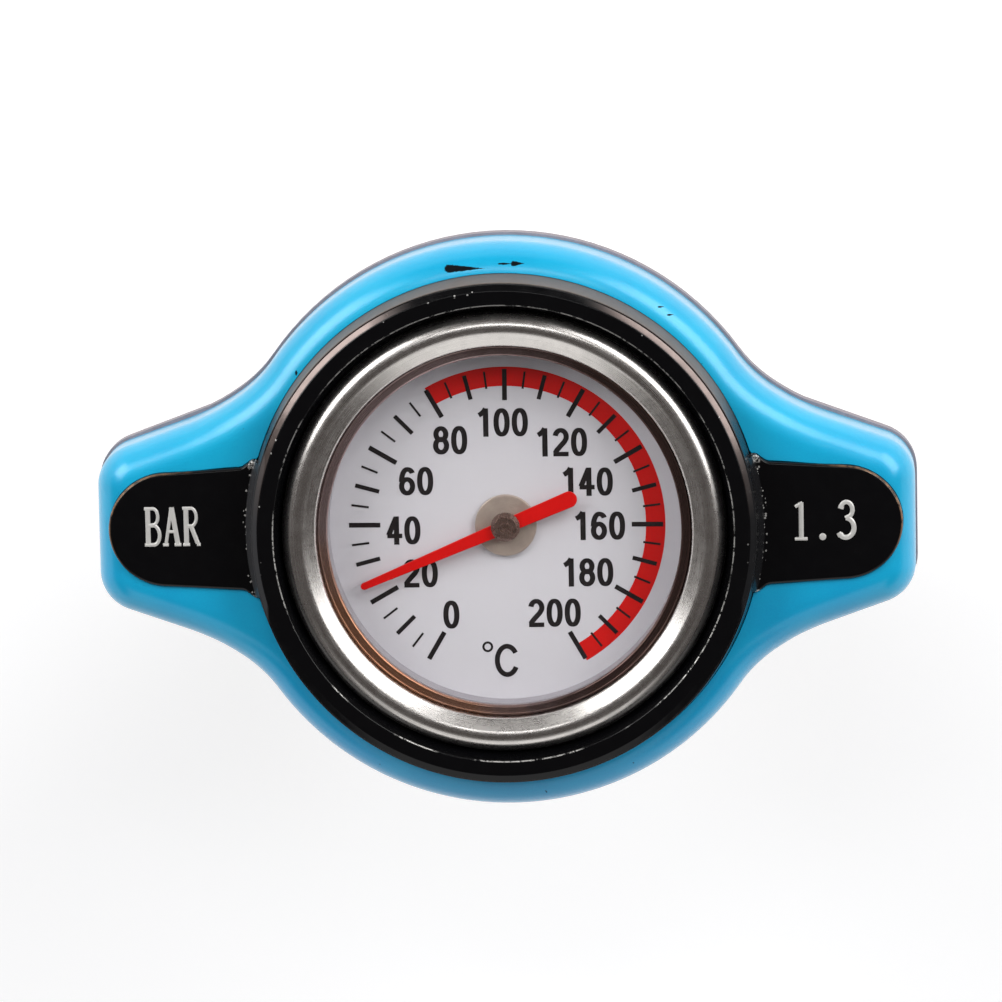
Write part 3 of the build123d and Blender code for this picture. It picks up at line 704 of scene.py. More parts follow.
# Blue cover. Along each inward normal of the outline the outside is z = top - R + sqrt(R^2 - (R - d)^2),
# where d is the distance in, until it meets the ring's hole or a pad's window.
def coverShell():
    values = coverValues
    low, top = [corner.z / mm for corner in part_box("wing_cover")]
    outline, normals = wingOutline(values["flangeStep"])
    inward = -normals
    holeR = values["ringFootR"] + values["trim"]
    along = np.einsum("ij,ij->i", outline, inward)
    under = along ** 2 - (np.einsum("ij,ij->i", outline, outline) - holeR ** 2)
    depth = np.where(under > 0, -along - np.sqrt(np.maximum(under, 0)), 1e9)
    for side in (1, -1):
        window = padPath(values["trim"]) * (side, 1) + (0, padValues["offY"])
        depth = np.minimum(depth, rayDistance(outline, inward, window))

    shoulder, wall = values["shoulderR"], values["wall"]
    share = np.linspace(0, 1, values["rows"])[None, :] ** 1.8
    inside = depth[:, None] * share

    def height(distance, radius, level):
        held = np.clip(distance, 0, radius)
        return level - radius + np.sqrt(radius ** 2 - (radius - held) ** 2)

    def at(distance, z):
        place = outline[:, None] + inward[:, None] * distance[..., None]
        return np.concatenate([place, z[..., None]], 2)

    levels = low + (top - shoulder - low) * np.array([0.0, 0.03, 0.35, 0.7, 0.97])[None, :]
    outside = at(np.zeros((len(outline), 1)) + 0 * levels, levels + 0 * depth[:, None])
    outer = np.concatenate([outside, at(inside, height(inside, shoulder, top))], 1)

    innerR, innerTop = shoulder - wall, top - wall
    innerStart = np.minimum(depth, wall)[:, None]
    rimHeight = np.maximum(height(depth[:, None] - wall, innerR, innerTop), innerTop - innerR + 0.3)
    innerShare = np.linspace(0, 1, values["rows"])[None, :] ** 1.5
    innerDistance = innerStart + (depth[:, None] - innerStart) * innerShare
    curve = height(innerDistance - wall, innerR, innerTop)
    straight = innerTop - innerR + (rimHeight - innerTop + innerR) * innerShare
    innerHeight = np.where(depth[:, None] - wall < 0.05, straight, np.minimum(curve, rimHeight))
    inner = np.concatenate([at(innerStart + 0 * levels, levels + 0 * innerStart), at(innerDistance, innerHeight)], 1)
    return sheet(drawnIn(outer), drawnIn(inner))


addPiece("cover_pressing", [coverShell()], "cap_body", finishes["cover"], ("wing_cover",),
         sharp=45, bevel=0.07)
print("cover made")


# Casting: underside, ring and pads

castingValues = {
    "cut": 8.25, "low": 8.15, "socketR": 19.47, "chamfer": 1.8, "landInner": 20.0, "landOuter": 21.25,
    "bevelR": 21.84, "bevelDrop": 0.26, "grooveR": 21.77, "wallR": 21.96, "wallDrop": 0.50, "footR": 22.35,
    "footZ": 9.6, "rootR": 22.62, "rootTop": 11.1, "rootHalf": 15.4,
}


# The casting below the cover's top, with the cut closed by a flat face.
def castingUnderside():
    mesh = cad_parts["core_casting"].data.copy()
    work = bmesh.new()
    work.from_mesh(mesh)
    bmesh.ops.remove_doubles(work, verts=work.verts, dist=1e-6)
    everything = work.verts[:] + work.edges[:] + work.faces[:]
    bmesh.ops.bisect_plane(work, geom=everything, plane_co=(0, 0, castingValues["cut"] * mm), plane_no=(0, 0, 1),
                           clear_outer=True)
    rims = [edge for edge in work.edges if edge.is_boundary]
    bmesh.ops.triangle_fill(work, edges=rims, use_beauty=True, use_dissolve=False, normal=(0, 0, 1))
    bmesh.ops.recalc_face_normals(work, faces=work.faces)
    work.to_mesh(mesh)
    work.free()
    points = np.empty(len(mesh.vertices) * 3)
    mesh.vertices.foreach_get("co", points)
    points = drawnIn(points.reshape(-1, 3) / mm) * mm
    mesh.vertices.foreach_set("co", points.ravel())
    mesh.update()
    return placeMesh("casting_underside", mesh, "cap_body", finishes["black"], ("core_casting",),
                     sharp=32, even=True)


# Ring that stands round the gauge: a narrow land, a bevel, a fine groove, and a wall that leans inwards.
def castingRing():
    values = castingValues
    top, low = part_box("core_casting")[1].z / mm, values["low"]
    bevelZ, wallZ = top - values["bevelDrop"], top - values["wallDrop"]
    path = [(values["socketR"], low, 0), (values["socketR"], top - values["chamfer"], 0.1),
            (values["landInner"], top, 0.12), (values["landOuter"], top, 0.2), (values["bevelR"], bevelZ, 0.1),
            (values["grooveR"], bevelZ - 0.05, 0.03), (values["grooveR"], wallZ + 0.06, 0.03),
            (values["wallR"], wallZ, 0.05), (values["footR"], values["footZ"], 0), (values["footR"], low, 0)]
    shape = lathe(rounded(path), around=256)
    return addPiece("casting_ring", [shape], "cap_body", finishes["black"], ("core_casting",))


# Small cove where each pad meets the ring: a section turned through the pad's own angle.
def padRoots():
    values = castingValues
    lean = (values["footR"] - values["wallR"]) / (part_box("core_casting")[1].z / mm - values["wallDrop"] - values["footZ"])
    wallR = values["footR"] - lean * (values["rootTop"] - values["footZ"])
    padTop, rootR = padValues["top"], values["rootR"]
    share = np.linspace(0, 1, 9)[:, None]
    curve = np.array([wallR, values["rootTop"]]) * (1 - share) ** 2 + np.array([wallR + 0.35, padTop + 0.38]) \
        * 2 * share * (1 - share) + np.array([rootR, padTop + 0.015]) * share ** 2
    section = np.concatenate([[(wallR - 0.4, values["low"] + 0.3), (rootR + 0.02, values["low"] + 0.3)], curve[::-1],
                              [(wallR - 0.4, values["rootTop"])]])
    shapes = []
    lift = np.degrees(padValues["offY"] / rootR)
    for middle in (lift, 180 - lift):
        angle = np.radians(np.linspace(middle - values["rootHalf"], middle + values["rootHalf"], 48))
        spoke = np.stack([np.cos(angle), np.sin(angle), 0 * angle], 1)
        shapes.append(carried(0 * spoke, spoke, 0 * spoke + (0, 0, 1), section))
    return addPiece("casting_roots", shapes, "cap_body", finishes["black"], ("core_casting",))


# Pads with a soft edge. Rings of the outline shrink towards the pad's middle line.
def castingPads():
    shapes = []
    values = padValues
    for side in (1, -1):
        rows = [(0.0, values["low"]), (0.0, values["top"] - values["edge"])]
        bend = np.radians(np.linspace(10, 90, 8))
        rows += [(values["edge"] * (1 - cos(a)), values["top"] - values["edge"] * (1 - sin(a))) for a in bend]
        outline = padPath(0.0)
        middle = np.stack([np.clip(outline[:, 0], None, values["endX"] - values["endHalf"]), 0 * outline[:, 0]], 1)
        spoke = outline - middle
        width = np.linalg.norm(spoke, axis=1, keepdims=True)
        unit = spoke / np.maximum(width, 1e-9)
        rings = [np.hstack([outline - unit * inset, 0 * width + z]) for inset, z in rows]
        edge = rings[-1][:, :2]
        base = np.hstack([middle, 0 * width + rows[0][1]])
        for share in (0.97, 0.6, 0.3, 0.0):
            rings.append(np.hstack([middle + (edge - middle) * share, 0 * width + values["top"]]))
        rings.insert(0, base)
        points = np.stack(rings, 1) * (side, 1, 1) + (0, values["offY"], 0)
        shapes.append(grid(drawnIn(points), wrapRows=True))
    return addPiece("casting_pads", shapes, "cap_body", finishes["black"], ("core_casting",),
                    merge=True)


castingUnderside()
castingRing()
padRoots()
castingPads()
print("casting made")


# Raised marks on the pads

markValues = {
    "height": 3.5, "stem": 0.44, "thin": 0.30, "rise": 0.12, "sink": 0.05,
    "numberX": (25.80, 29.76), "dotX": 27.66, "numberY": 0.44, "unitX": (-30.75, -29.1, -27.4), "unitY": 0.56,
}


def segment(*points):
    return np.array(points, float)


# A stroke of ink or metal: a flat or crowned section carried along a flat path.
def stroke(path, width, low, high, closed=False, crown=False):
    if closed:
        ahead, behind = np.roll(path, -1, 0), np.roll(path, 1, 0)
    else:
        ahead = np.concatenate([path[1:], path[-1:] * 2 - path[-2:-1]])
        behind = np.concatenate([path[:1] * 2 - path[1:2], path[:-1]])
    way = ahead - behind
    way /= np.linalg.norm(way, axis=1, keepdims=True)
    side = np.stack([way[:, 1], -way[:, 0], 0 * way[:, 0]], 1)
    half = np.broadcast_to(np.asarray(width, float) / 2, (len(path),))[:, None]
    rise = high - low
    if crown:
        angle = np.radians(np.linspace(0, 180, 9))[None, :]
        x = np.cos(angle) * half
        y = low + rise * (0.35 + 0.65 * np.sin(angle)) + 0 * half
        x = np.concatenate([half, x, -half], 1)
        y = np.concatenate([low + 0 * half, y, low + 0 * half], 1)
    else:
        x = np.concatenate([half, half, -half, -half], 1)
        y = np.concatenate([low + 0 * half, high + 0 * half, high + 0 * half, low + 0 * half], 1)
    route = np.hstack([path, np.zeros((len(path), 1))])
    up = np.zeros_like(route) + (0, 0, 1)
    return carried(route, side, up, np.stack([x, y], 2), closed)


# Round raised dot.
def ball(x, y, radius, low, high):
    path = rounded([(0, low, 0), (radius, low, 0), (radius, high, (high - low) * 0.6), (0, high, 0)], closed=False)
    points, faces = lathe(path, closed=False, around=32)
    return points + (x, y, 0), faces


def markOne(stem, thin):
    return [(segment((0, -1.55), (0, 1.62)), stem), (segment((0.12, 1.58), (-0.18, 1.44), (-0.50, 1.22)), thin),
            (segment((-0.55, -1.6), (0.55, -1.6)), thin)]


def markThree(stem, thin):
    upper = np.concatenate([arcPoints(-0.02, 0.92, 0.52, 0.68, 160, -60, 26), segment((-0.12, 0.18))])
    lower = arcPoints(-0.1, -0.66, 0.72, 0.86, 88, -150, 30)
    return [(upper, stem * 0.92), (lower, stem * 1.02), (segment((-0.62, -1.2), (-0.5, -1.38)), stem * 1.25),
            (segment((-0.52, 1.02), (-0.44, 1.26)), stem * 1.15)]


def markB(stem, thin):
    upper = np.concatenate([segment((-0.4, 1.6), (0.0, 1.6)), arcPoints(0.02, 0.88, 0.44, 0.72, 88, -88),
                            segment((-0.4, 0.16))])
    lower = np.concatenate([segment((-0.4, 0.10), (0.0, 0.10)), arcPoints(0.06, -0.75, 0.52, 0.85, 88, -88),
                            segment((-0.4, -1.6))])
    return [(segment((-0.42, -1.6), (-0.42, 1.6)), stem), (upper, thin), (lower, thin * 1.1),
            (segment((-0.72, 1.6), (-0.3, 1.6)), thin), (segment((-0.72, -1.6), (-0.3, -1.6)), thin)]


def markA(stem, thin):
    return [(segment((-0.52, -1.55), (0.0, 1.7)), thin), (segment((0.02, 1.7), (0.52, -1.55)), stem),
            (segment((-0.34, -0.45), (0.36, -0.45)), thin * 0.9), (segment((-0.78, -1.6), (-0.28, -1.6)), thin),
            (segment((0.24, -1.6), (0.82, -1.6)), thin)]


def markR(stem, thin):
    bowl = np.concatenate([segment((-0.4, 1.6), (0.0, 1.6)), arcPoints(0.02, 0.82, 0.46, 0.78, 88, -88),
                           segment((-0.4, 0.04))])
    return [(segment((-0.42, -1.6), (-0.42, 1.6)), stem), (bowl, thin), (segment((0.0, 0.04), (0.56, -1.5)), stem * 0.9),
            (segment((-0.72, 1.6), (-0.3, 1.6)), thin), (segment((-0.72, -1.6), (-0.12, -1.6)), thin),
            (segment((0.5, -1.6), (0.82, -1.6)), thin)]


# Each mark's strokes moved to its place, each a hair higher than the last so that no two tops coincide.
def raisedMarks(marks, places, level):
    values = markValues
    shapes = []
    low, high = padValues["top"] - values["sink"], padValues["top"] + values["rise"]
    for mark, x in zip(marks, places):
        for k, (path, width) in enumerate(mark(values["stem"], values["thin"])):
            shapes.append(stroke(path + (x, level), width, low, high + 0.006 * k, crown=True))
    return shapes


def padMarks():
    values = markValues
    numbers = raisedMarks((markOne, markThree), values["numberX"], values["numberY"])
    dotHigh = padValues["top"] + values["rise"]
    dotY = values["numberY"] - 1.43
    numbers.append(ball(values["dotX"], dotY, 0.31, padValues["top"] - values["sink"], dotHigh))
    addPiece("pad_number", numbers, "cap_body", finishes["silver"], merge=True)
    unit = raisedMarks((markB, markA, markR), values["unitX"], values["unitY"])
    addPiece("pad_unit", unit, "cap_body", finishes["silver"], merge=True)


padMarks()
print("pad marks made")


# Gauge: case, dial, glass and bezel

# A lathe piece from (radius, z, corner radius) corners. An open path starts and ends on the axis.
def turnedPiece(name, corners, body, finish, node, around=192, closed=True, sharp=38.0):
    shape = lathe(rounded(corners, closed=closed), closed=closed, around=around)
    return addPiece(name, [shape], body, finishes[finish], (node,), sharp=sharp, merge=not closed)


bezelValues = {"wall": 0.5, "rollWide": 1.4, "rollHigh": 1.5, "crestR": 1.2, "slope": 28.0, "lipR": 16.35,
               "lipLowDrop": 1.7, "foot": 1.3, "seat": 0.02}


# Rolled ring: an elliptic outer edge, a round crest, then a straight slope to a lip that turns in over the
# glass. The inner side follows the same curves one wall thickness in.
def gaugeBezel():
    values = bezelValues
    outerR, low, top = roundSize("bezel")
    wall, lipR, slope = values["wall"], values["lipR"], values["slope"]
    stepLow = roundSize("gauge_case")[1] + 0.8
    footX = outerR - wall - values["seat"] - values["foot"]
    rollX, crestX = outerR - values["rollWide"], outerR - values["rollWide"]

    def face(inset):
        roll = arcPoints(rollX, top - values["rollHigh"], values["rollWide"] - inset, values["rollHigh"] - inset, 0, 90, 16)
        crest = arcPoints(crestX, top - values["crestR"], values["crestR"] - inset, values["crestR"] - inset, 90,
                          90 + slope, 8)
        run = crest[-1, 0] - lipR - inset
        lip = (lipR + inset, crest[-1, 1] - run * tan(radians(slope)))
        return [(x, z, 0) for x, z in np.concatenate([roll, crest[1:]])] + [(*lip, 0.3 - 0.3 * inset)]

    lipLow = top - values["lipLowDrop"]
    corners = [(outerR, low, 0.12)] + face(0) + [(lipR, lipLow, 0.12), (lipR + wall, lipLow, 0.08)]
    corners += face(wall)[::-1] + [(outerR - wall, stepLow, 0.05), (footX, stepLow, 0.05), (footX, low, 0.15)]
    turnedPiece("bezel_rolled", corners, "cap_body", "bezel", "bezel", around=256)


caseValues = {"wall": 0.6, "step": 0.8, "stepWidth": 2.2, "holeR": 4.02}


def gaugeCase():
    values = caseValues
    outerR, low, top = roundSize("gauge_case")
    wall = values["wall"]
    stepR = outerR - values["stepWidth"]
    stepLow = low + values["step"]
    corners = [(values["holeR"], low, 0.05), (stepR, low, 0.35), (stepR, stepLow, 0.1), (outerR, stepLow, 0.4),
               (outerR, top, 0.1), (outerR - wall, top, 0.1), (outerR - wall, stepLow + wall, 0.15),
               (stepR - wall, stepLow + wall, 0.3), (stepR - wall, low + wall, 0.15), (values["holeR"], low + wall, 0.05)]
    turnedPiece("gauge_cup", corners, "cap_body", "case", "gauge_case")


# A plain ring or washer: the node's radius and height, a bore and one edge radius.
def ringPiece(name, node, innerR, edge, body, finish, around=192):
    outerR, low, top = roundSize(node)
    corners = [(innerR, low, edge), (outerR, low, edge), (outerR, top, edge), (innerR, top, edge)]
    return turnedPiece(name, corners, body, finish, node, around)


# Dial plate, spacer, glass, its ring and the gasket.
def gaugeWindow():
    ringPiece("dial_face", "dial_plate", 1.52, 0.05, "cap_body", "dial")
    ringPiece("spacer_ring", "dial_spacer", 15.45, 0.08, "cap_body", "spacer")
    ringPiece("bezel_seal", "bezel_gasket", 16.93, 0.05, "cap_body", "rubber")
    lensR, low, top = roundSize("lens")
    corners = [(0, low, 0), (lensR, low, 0.12), (lensR, top, 0.12), (0, top, 0)]
    turnedPiece("lens_glass", corners, "cap_body", "glass", "lens", closed=False)
    flangeR, low, top = roundSize("lens_ring")
    innerR, outerR, flangeTop = 15.4, 16.25, low + 0.15
    corners = [(innerR, low, 0.03), (flangeR, low, 0.03), (flangeR, flangeTop, 0.03), (outerR, flangeTop, 0.02),
               (outerR, top, 0.2), (innerR, top, 0.2)]
    turnedPiece("window_ring", corners, "cap_body", "copper", "lens_ring", around=256)


dialPrint = {
    "sweep": 300.0, "full": 200, "outerR": 13.75, "lift": 0.012,
    "long": (11.0, 0.42), "middle": (11.45, 0.37), "short": (12.1, 0.19),
    "redFrom": 80, "redInner": 12.25, "redOuter": 13.95,
    "digitHeight": 2.50, "digitWidth": 1.42, "pitch": 1.59, "heavy": 0.465, "light": 0.40, "turn": -0.46,
}


# Direction of a reading on the dial, as a unit vector: 0 is low on the left and the scale runs clockwise.
def scaleWay(reading):
    angle = radians(90 + dialPrint["turn"] - (reading / dialPrint["full"] - 0.5) * dialPrint["sweep"])
    return np.array([cos(angle), sin(angle)])


def scaleTicks(low, high):
    shapes = []
    for reading in range(0, dialPrint["full"] + 1, 5):
        kind = "long" if reading % 20 == 0 else "middle" if reading % 10 == 0 else "short"
        innerR, thick = dialPrint[kind]
        outerR = dialPrint["outerR"] if kind == "long" else dialPrint["outerR"] - 0.12
        way = scaleWay(reading)
        shapes.append(stroke(np.array([way * innerR, way * outerR]), thick, low, high))
    return shapes


def redBand(low, high):
    first, last = [atan2(*scaleWay(r)[::-1]) for r in (dialPrint["redFrom"], dialPrint["full"])]
    angle = np.linspace(first, last, 120)
    middle = (dialPrint["redInner"] + dialPrint["redOuter"]) / 2
    path = middle * np.stack([np.cos(angle), np.sin(angle)], 1)
    return [stroke(path, dialPrint["redOuter"] - dialPrint["redInner"], low, high)]


# Centre lines of a condensed sans digit in a box of half width a and half height b.
def digitPaths(digit):
    thick = dialPrint["heavy"]
    a, b = (dialPrint["digitWidth"] - thick) / 2, (dialPrint["digitHeight"] - dialPrint["light"]) / 2
    top = dialPrint["digitHeight"] / 2
    if digit == "0":
        angle = np.linspace(0, tau, 48, endpoint=False)
        c, s = np.cos(angle), np.sin(angle)
        return [(np.stack([a * np.sign(c) * np.abs(c) ** 0.86, b * np.sign(s) * np.abs(s) ** 0.92], 1), True)]
    if digit == "1":
        flag = segment((0.20, top - 0.02), (0.02, top - 0.30), (-0.22, top - 0.50), (-0.40, top - 0.60))
        return [(segment((0.20, -top), (0.20, top)), False), (flag, False)]
    if digit == "2":
        bow = arcPoints(0.0, 0.48, a, b - 0.48, 172, -20, 22)
        slope = segment((0.30, 0.02), (-0.05, -0.36), (-0.38, -0.74), (-a - 0.02, -b + 0.10))
        return [(np.concatenate([bow, slope]), False), (segment((-a - 0.19, -b), (a + 0.19, -b)), False)]
    if digit == "4":
        return [(segment((0.16, b + 0.08), (-a - 0.02, -0.42)), False),
                (segment((-a - 0.14, -0.48), (a + 0.22, -0.48)), False), (segment((0.20, -top), (0.20, top)), False)]
    if digit == "6":
        back = np.concatenate([arcPoints(0.03, 0.62, a - 0.02, b - 0.62, 12, 90, 10),
                               arcPoints(0.03, -0.05, a + 0.03, b + 0.05, 92, 180, 16)])
        return [(back, False), (arcPoints(0.0, -0.44, a, b - 0.44, 0, 352, 40), True)]
    if digit == "8":
        return [(arcPoints(0, 0.54, a - 0.05, b - 0.54, 0, 352, 40), True),
                (arcPoints(0, -0.47, a, b - 0.47, 0, 352, 40), True)]
    return []


# Upright stretches are heavier than level ones.
def inkWidth(path, closed):
    way = np.roll(path, -1, 0) - np.roll(path, 1, 0)
    if not closed:
        way[0], way[-1] = path[1] - path[0], path[-1] - path[-2]
    upright = np.abs(way[:, 1]) / np.linalg.norm(way, axis=1)
    return dialPrint["light"] + (dialPrint["heavy"] - dialPrint["light"]) * upright


numberPlaces = {          # middle of each number, in millimetres from the print's middle
    "0": (-4.94, -7.93), "20": (-7.55, -4.23), "40": (-9.00, -0.41), "60": (-7.79, 3.94), "80": (-4.74, 7.52),
    "100": (-0.21, 9.04), "120": (4.93, 7.23), "140": (7.12, 3.71), "160": (8.13, -0.20), "180": (7.03, -4.31),
    "200": (4.12, -7.87),
}


def dialNumbers(low, high):
    shapes = []
    for text, (x, y) in numberPlaces.items():
        start = x - dialPrint["pitch"] * (len(text) - 1) / 2
        for k, digit in enumerate(text):
            for level, (path, closed) in enumerate(digitPaths(digit)):
                place = path + (start + k * dialPrint["pitch"], y)
                shapes.append(stroke(place, inkWidth(path, closed), low, high + 0.002 * level, closed))
    c = arcPoints(-0.11, -12.06, 0.87, 1.26, 32, 332, 44)
    shapes.append(stroke(c, 0.44, low, high))
    ring = arcPoints(-1.80, -10.83, 0.38, 0.38, 0, 350, 32)
    shapes.append(stroke(ring, 0.20, low, high, closed=True))
    return shapes


# Scale, numbers and the red band, laid on the dial a hair proud of it.
def printedDial():
    dialTop = roundSize("dial_plate")[2]
    low, lift = dialTop - 0.02, dialPrint["lift"]
    addPiece("dial_red_band", redBand(low, dialTop + lift), "cap_body", finishes["band"])
    ink = scaleTicks(low, dialTop + 1.8 * lift) + dialNumbers(low, dialTop + lift)
    addPiece("dial_print", ink, "cap_body", finishes["ink"], merge=True)


gaugeCase()
gaugeWindow()
gaugeBezel()
printedDial()
print("gauge made")


# Pointer and its works

pointerValues = {
    "length": 13.8, "tail": 6.75, "root": 1.22, "tip": 0.62, "tailEnd": 1.42, "edge": 0.07, "least": 0.05,
    "low": 8.05, "high": 8.35, "points": 202.5,
}


# Flat blade. At x along it the half width is straight from tip to hub and hub to tail, with round ends.
def pointerBlade():
    values = pointerValues
    tipR, tailR = values["tip"] / 2, values["tailEnd"] / 2
    tipX, tailX = tipR - values["length"], values["tail"] - tailR
    ease = 0.5 - 0.5 * np.cos(np.linspace(0, pi, 13))
    x = np.concatenate([tipX - tipR + tipR * ease[:-1] * 1.0, np.linspace(tipX, tailX, 60),
                        tailX + tailR * ease[1:]])
    body = np.interp(x, [tipX, 0, tailX], [tipR, values["root"] / 2, tailR])
    tipRound = np.sqrt(np.maximum(tipR ** 2 - (x - tipX) ** 2, 0))
    tailRound = np.sqrt(np.maximum(tailR ** 2 - (x - tailX) ** 2, 0))
    half = np.where(x < tipX, tipRound, np.where(x > tailX, tailRound, body))
    half = np.maximum(half, values["least"])
    edge = values["edge"]
    section = rounded([(1, values["low"], edge), (1, values["high"], edge), (-1, values["high"], edge),
                       (-1, values["low"], edge)], hold=0.01)
    inset = 1 - np.abs(section[:, 0])
    across = np.sign(section[:, 0]) * np.maximum(half[:, None] - inset, 0.2 * values["least"])
    section = np.stack([across, section[:, 1] + 0 * across], 2)
    angle = radians(values["points"])
    way, side, up = np.array([[cos(angle), sin(angle), 0], [sin(angle), -cos(angle), 0], [0, 0, 1.0]])
    still = 0 * x[:, None]
    shape = carried(-x[:, None] * way, still + side, still + up, section)
    return addPiece("pointer_blade", [shape], "pointer_set", finishes["red"], ("pointer",))



# Hub, spindle, coil collar and bush.
def pointerWorks():
    hubR, low, top = roundSize("pointer_hub")
    values = pointerValues
    corners = [(0.5, low, 0.02), (1.0, low, 0.03), (1.0, values["low"], 0), (0.8, values["low"], 0),
               (0.8, values["high"], 0), (hubR, values["high"], 0.03), (hubR, values["high"] + 0.3, 0.06),
               (hubR - 0.3, top, 0.06), (0.5, top, 0.03)]
    turnedPiece("hub_cap", corners, "pointer_set", "hub", "pointer_hub", around=96)
    rodR, low, top = roundSize("spindle")
    corners = [(0, low, 0), (rodR, low, 0.05), (rodR, top, 0.05), (0.35, top, 0.04), (0.22, top - 0.2, 0.06),
               (0, top - 0.2, 0)]
    turnedPiece("spindle_rod", corners, "pointer_set", "hub", "spindle", around=64, closed=False)
    ringPiece("coil_collar", "coil_hub", 0.5, 0.06, "pointer_set", "brass", around=64)
    bushR, low, top = roundSize("dial_bush")
    corners = [(0.56, low, 0.04), (1.5, low, 0.06), (1.5, top - 0.5, 0), (bushR, top - 0.5, 0.04),
               (bushR, top, 0.12), (0.56, top, 0.06)]
    turnedPiece("bush_flanged", corners, "cap_body", "nickel", "dial_bush", around=128)


pointerBlade()
pointerWorks()
print("pointer made")


# Probe

# A section carried along a helix; turnsAt gives the turns made and the height, both from 0 to 1.
def helixTube(meanR, turnsAt, section, low, high, count):
    share = np.linspace(0, 1, count)
    turns, rise = turnsAt(share)
    angle = tau * turns
    spoke = np.stack([np.cos(angle), np.sin(angle), 0 * angle], 1)
    route = spoke * meanR + np.stack([0 * share, 0 * share, low + (high - low) * rise], 1)
    return carried(route, spoke, np.zeros_like(route) + (0, 0, 1), section)


# Tube, welded tip, guide and the bimetal coil.
def probe():
    ringPiece("probe_tube", "stem_tube", 2.65, 0.08, "cap_body", "brass", around=96)
    tipR, low, top = roundSize("stem_tip")
    joint = low + tipR
    corners = [(0, low, 0), (tipR, low, tipR * 0.98), (tipR, joint, 0), (2.63, joint, 0), (2.63, joint + 1.0, 0.1),
               (1.94, joint + 1.0, 0), (1.94, top, 0.1), (0, top, 0)]
    turnedPiece("probe_tip", corners, "cap_body", "brass", "stem_tip", around=96, closed=False)
    ringPiece("guide_bush", "spindle_guide", 0.56, 0.1, "cap_body", "plastic", around=64)
    strip = rounded([(-0.1, -0.5, 0.04), (0.1, -0.5, 0.04), (0.1, 0.5, 0.04), (-0.1, 0.5, 0.04)], hold=0.01)
    coilR, low, top = roundSize("bimetal_coil")
    shape = helixTube(2.1, lambda share: (share * 10, share), strip, low + 0.5, top - 0.5, 720)
    addPiece("coil_strip", [shape], "cap_body", finishes["bimetal"], ("bimetal_coil",))


probe()
print("probe made")


# Shank and what it clamps

shankValues = {
    "boreR": 3.02, "bossR": 4.0, "guideR": 3.8, "grooveR": 4.5, "grooveTop": -0.88, "grooveLow": -1.68,
    "shoulder": -2.38, "clipGrooveR": 3.45, "clipTop": -21.55, "clipLow": -22.35, "threadTop": 1.6,
    "threadLow": -0.7, "threadPitch": 0.6, "threadDepth": 0.25, "caseLow": 5.3,
}


# Shank, nut, washer, clips and seals round the shank.
def clampPieces():
    values = shankValues
    shankR, low, top = roundSize("gauge_shank")
    guideR = values["guideR"]
    corners = [(values["bossR"], top, 0.08), (values["bossR"], values["caseLow"], 0), (shankR, values["caseLow"], 0.05),
               (shankR, values["grooveTop"], 0.05), (values["grooveR"], values["grooveTop"], 0.02),
               (values["grooveR"], values["grooveLow"], 0.02), (shankR, values["grooveLow"], 0.05),
               (shankR, values["shoulder"], 0.15), (guideR, values["shoulder"], 0.1),
               (guideR, values["clipTop"], 0.05), (values["clipGrooveR"], values["clipTop"], 0.02),
               (values["clipGrooveR"], values["clipLow"], 0.02), (guideR, values["clipLow"], 0.05),
               (guideR, low, 0.2), (values["boreR"], low, 0.1), (values["boreR"], top, 0.05)]
    turnedPiece("shank_turned", corners, "cap_body", "brass", "gauge_shank", around=128)
    ringPiece("washer_plain", "lock_washer", 5.02, 0.08, "cap_body", "zinc", around=128)
    ringPiece("bell_clip", "bell_retaining_ring", 4.52, 0.1, "cap_body", "zinc", around=128)
    ringPiece("guide_clip", "stem_clip", 3.47, 0.1, "cap_body", "zinc", around=128)
    sealR, low, top = roundSize("gauge_oring")
    half = (top - low) / 2
    angle = np.linspace(0, tau, 24, endpoint=False)
    path = np.stack([sealR - half + half * np.cos(angle), (low + top) / 2 + half * np.sin(angle)], 1)
    addPiece("case_oring", [lathe(path)], "cap_body", finishes["rubber"], ("gauge_oring",))
    hexNut()


# Nut whose rim is a hexagon with flats towards +Y and -Y, r = flat / cos(angle from the nearest flat's middle),
# cut back by a cone at both faces.
def hexNut():
    low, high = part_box("shank_nut")
    flat, low, top = high.y / mm, low.z / mm, high.z / mm
    boreR, edge, chamferR, slope = 5.02, 0.1, flat * 0.97, 0.5
    angle = np.linspace(0, tau, 144, endpoint=False)
    rim = flat / np.cos(angle % (pi / 3) - pi / 6)
    drop = np.maximum(rim - chamferR, 0) * slope
    even = 0 * rim
    rows = [(even + boreR, even + low + edge), (even + boreR + edge, even + low), (even + chamferR, even + low),
            (rim, low + drop), (rim, top - drop), (even + chamferR, even + top), (even + boreR + edge, even + top),
            (even + boreR, even + top - edge)]
    points = np.stack([np.stack([r * np.cos(angle), r * np.sin(angle), z], 1) for r, z in rows], 1)
    shape = grid(points, wrapRows=True, wrapColumns=True)
    addPiece("nut_hex", [shape], "cap_body", finishes["zinc"], ("shank_nut",), sharp=20)


clampPieces()
print("shank made")


# Bayonet shell, its rivets, the diaphragm and the neck gasket

shellValues = {"thick": 1.1, "bendR": 1.5, "boreR": 5.02, "skirtLow": -4.9, "earInnerR": 18.3, "earSpan": 50.0}


# Two paths with as many points each, turned about Z through the same angles.
def turnedSheet(outerPath, innerPath, angles):
    def turned(path):
        c, s = np.cos(angles)[:, None], np.sin(angles)[:, None]
        return np.stack([path[None, :, 0] * c, path[None, :, 0] * s, path[None, :, 1] + 0 * c], 2)
    return turned(outerPath), turned(innerPath)


def arcRun(centre, radius, first, last, count=9):
    angle = np.radians(np.linspace(first, last, count))
    return np.stack([centre[0] + radius * np.cos(angle), centre[1] + radius * np.sin(angle)], 1)


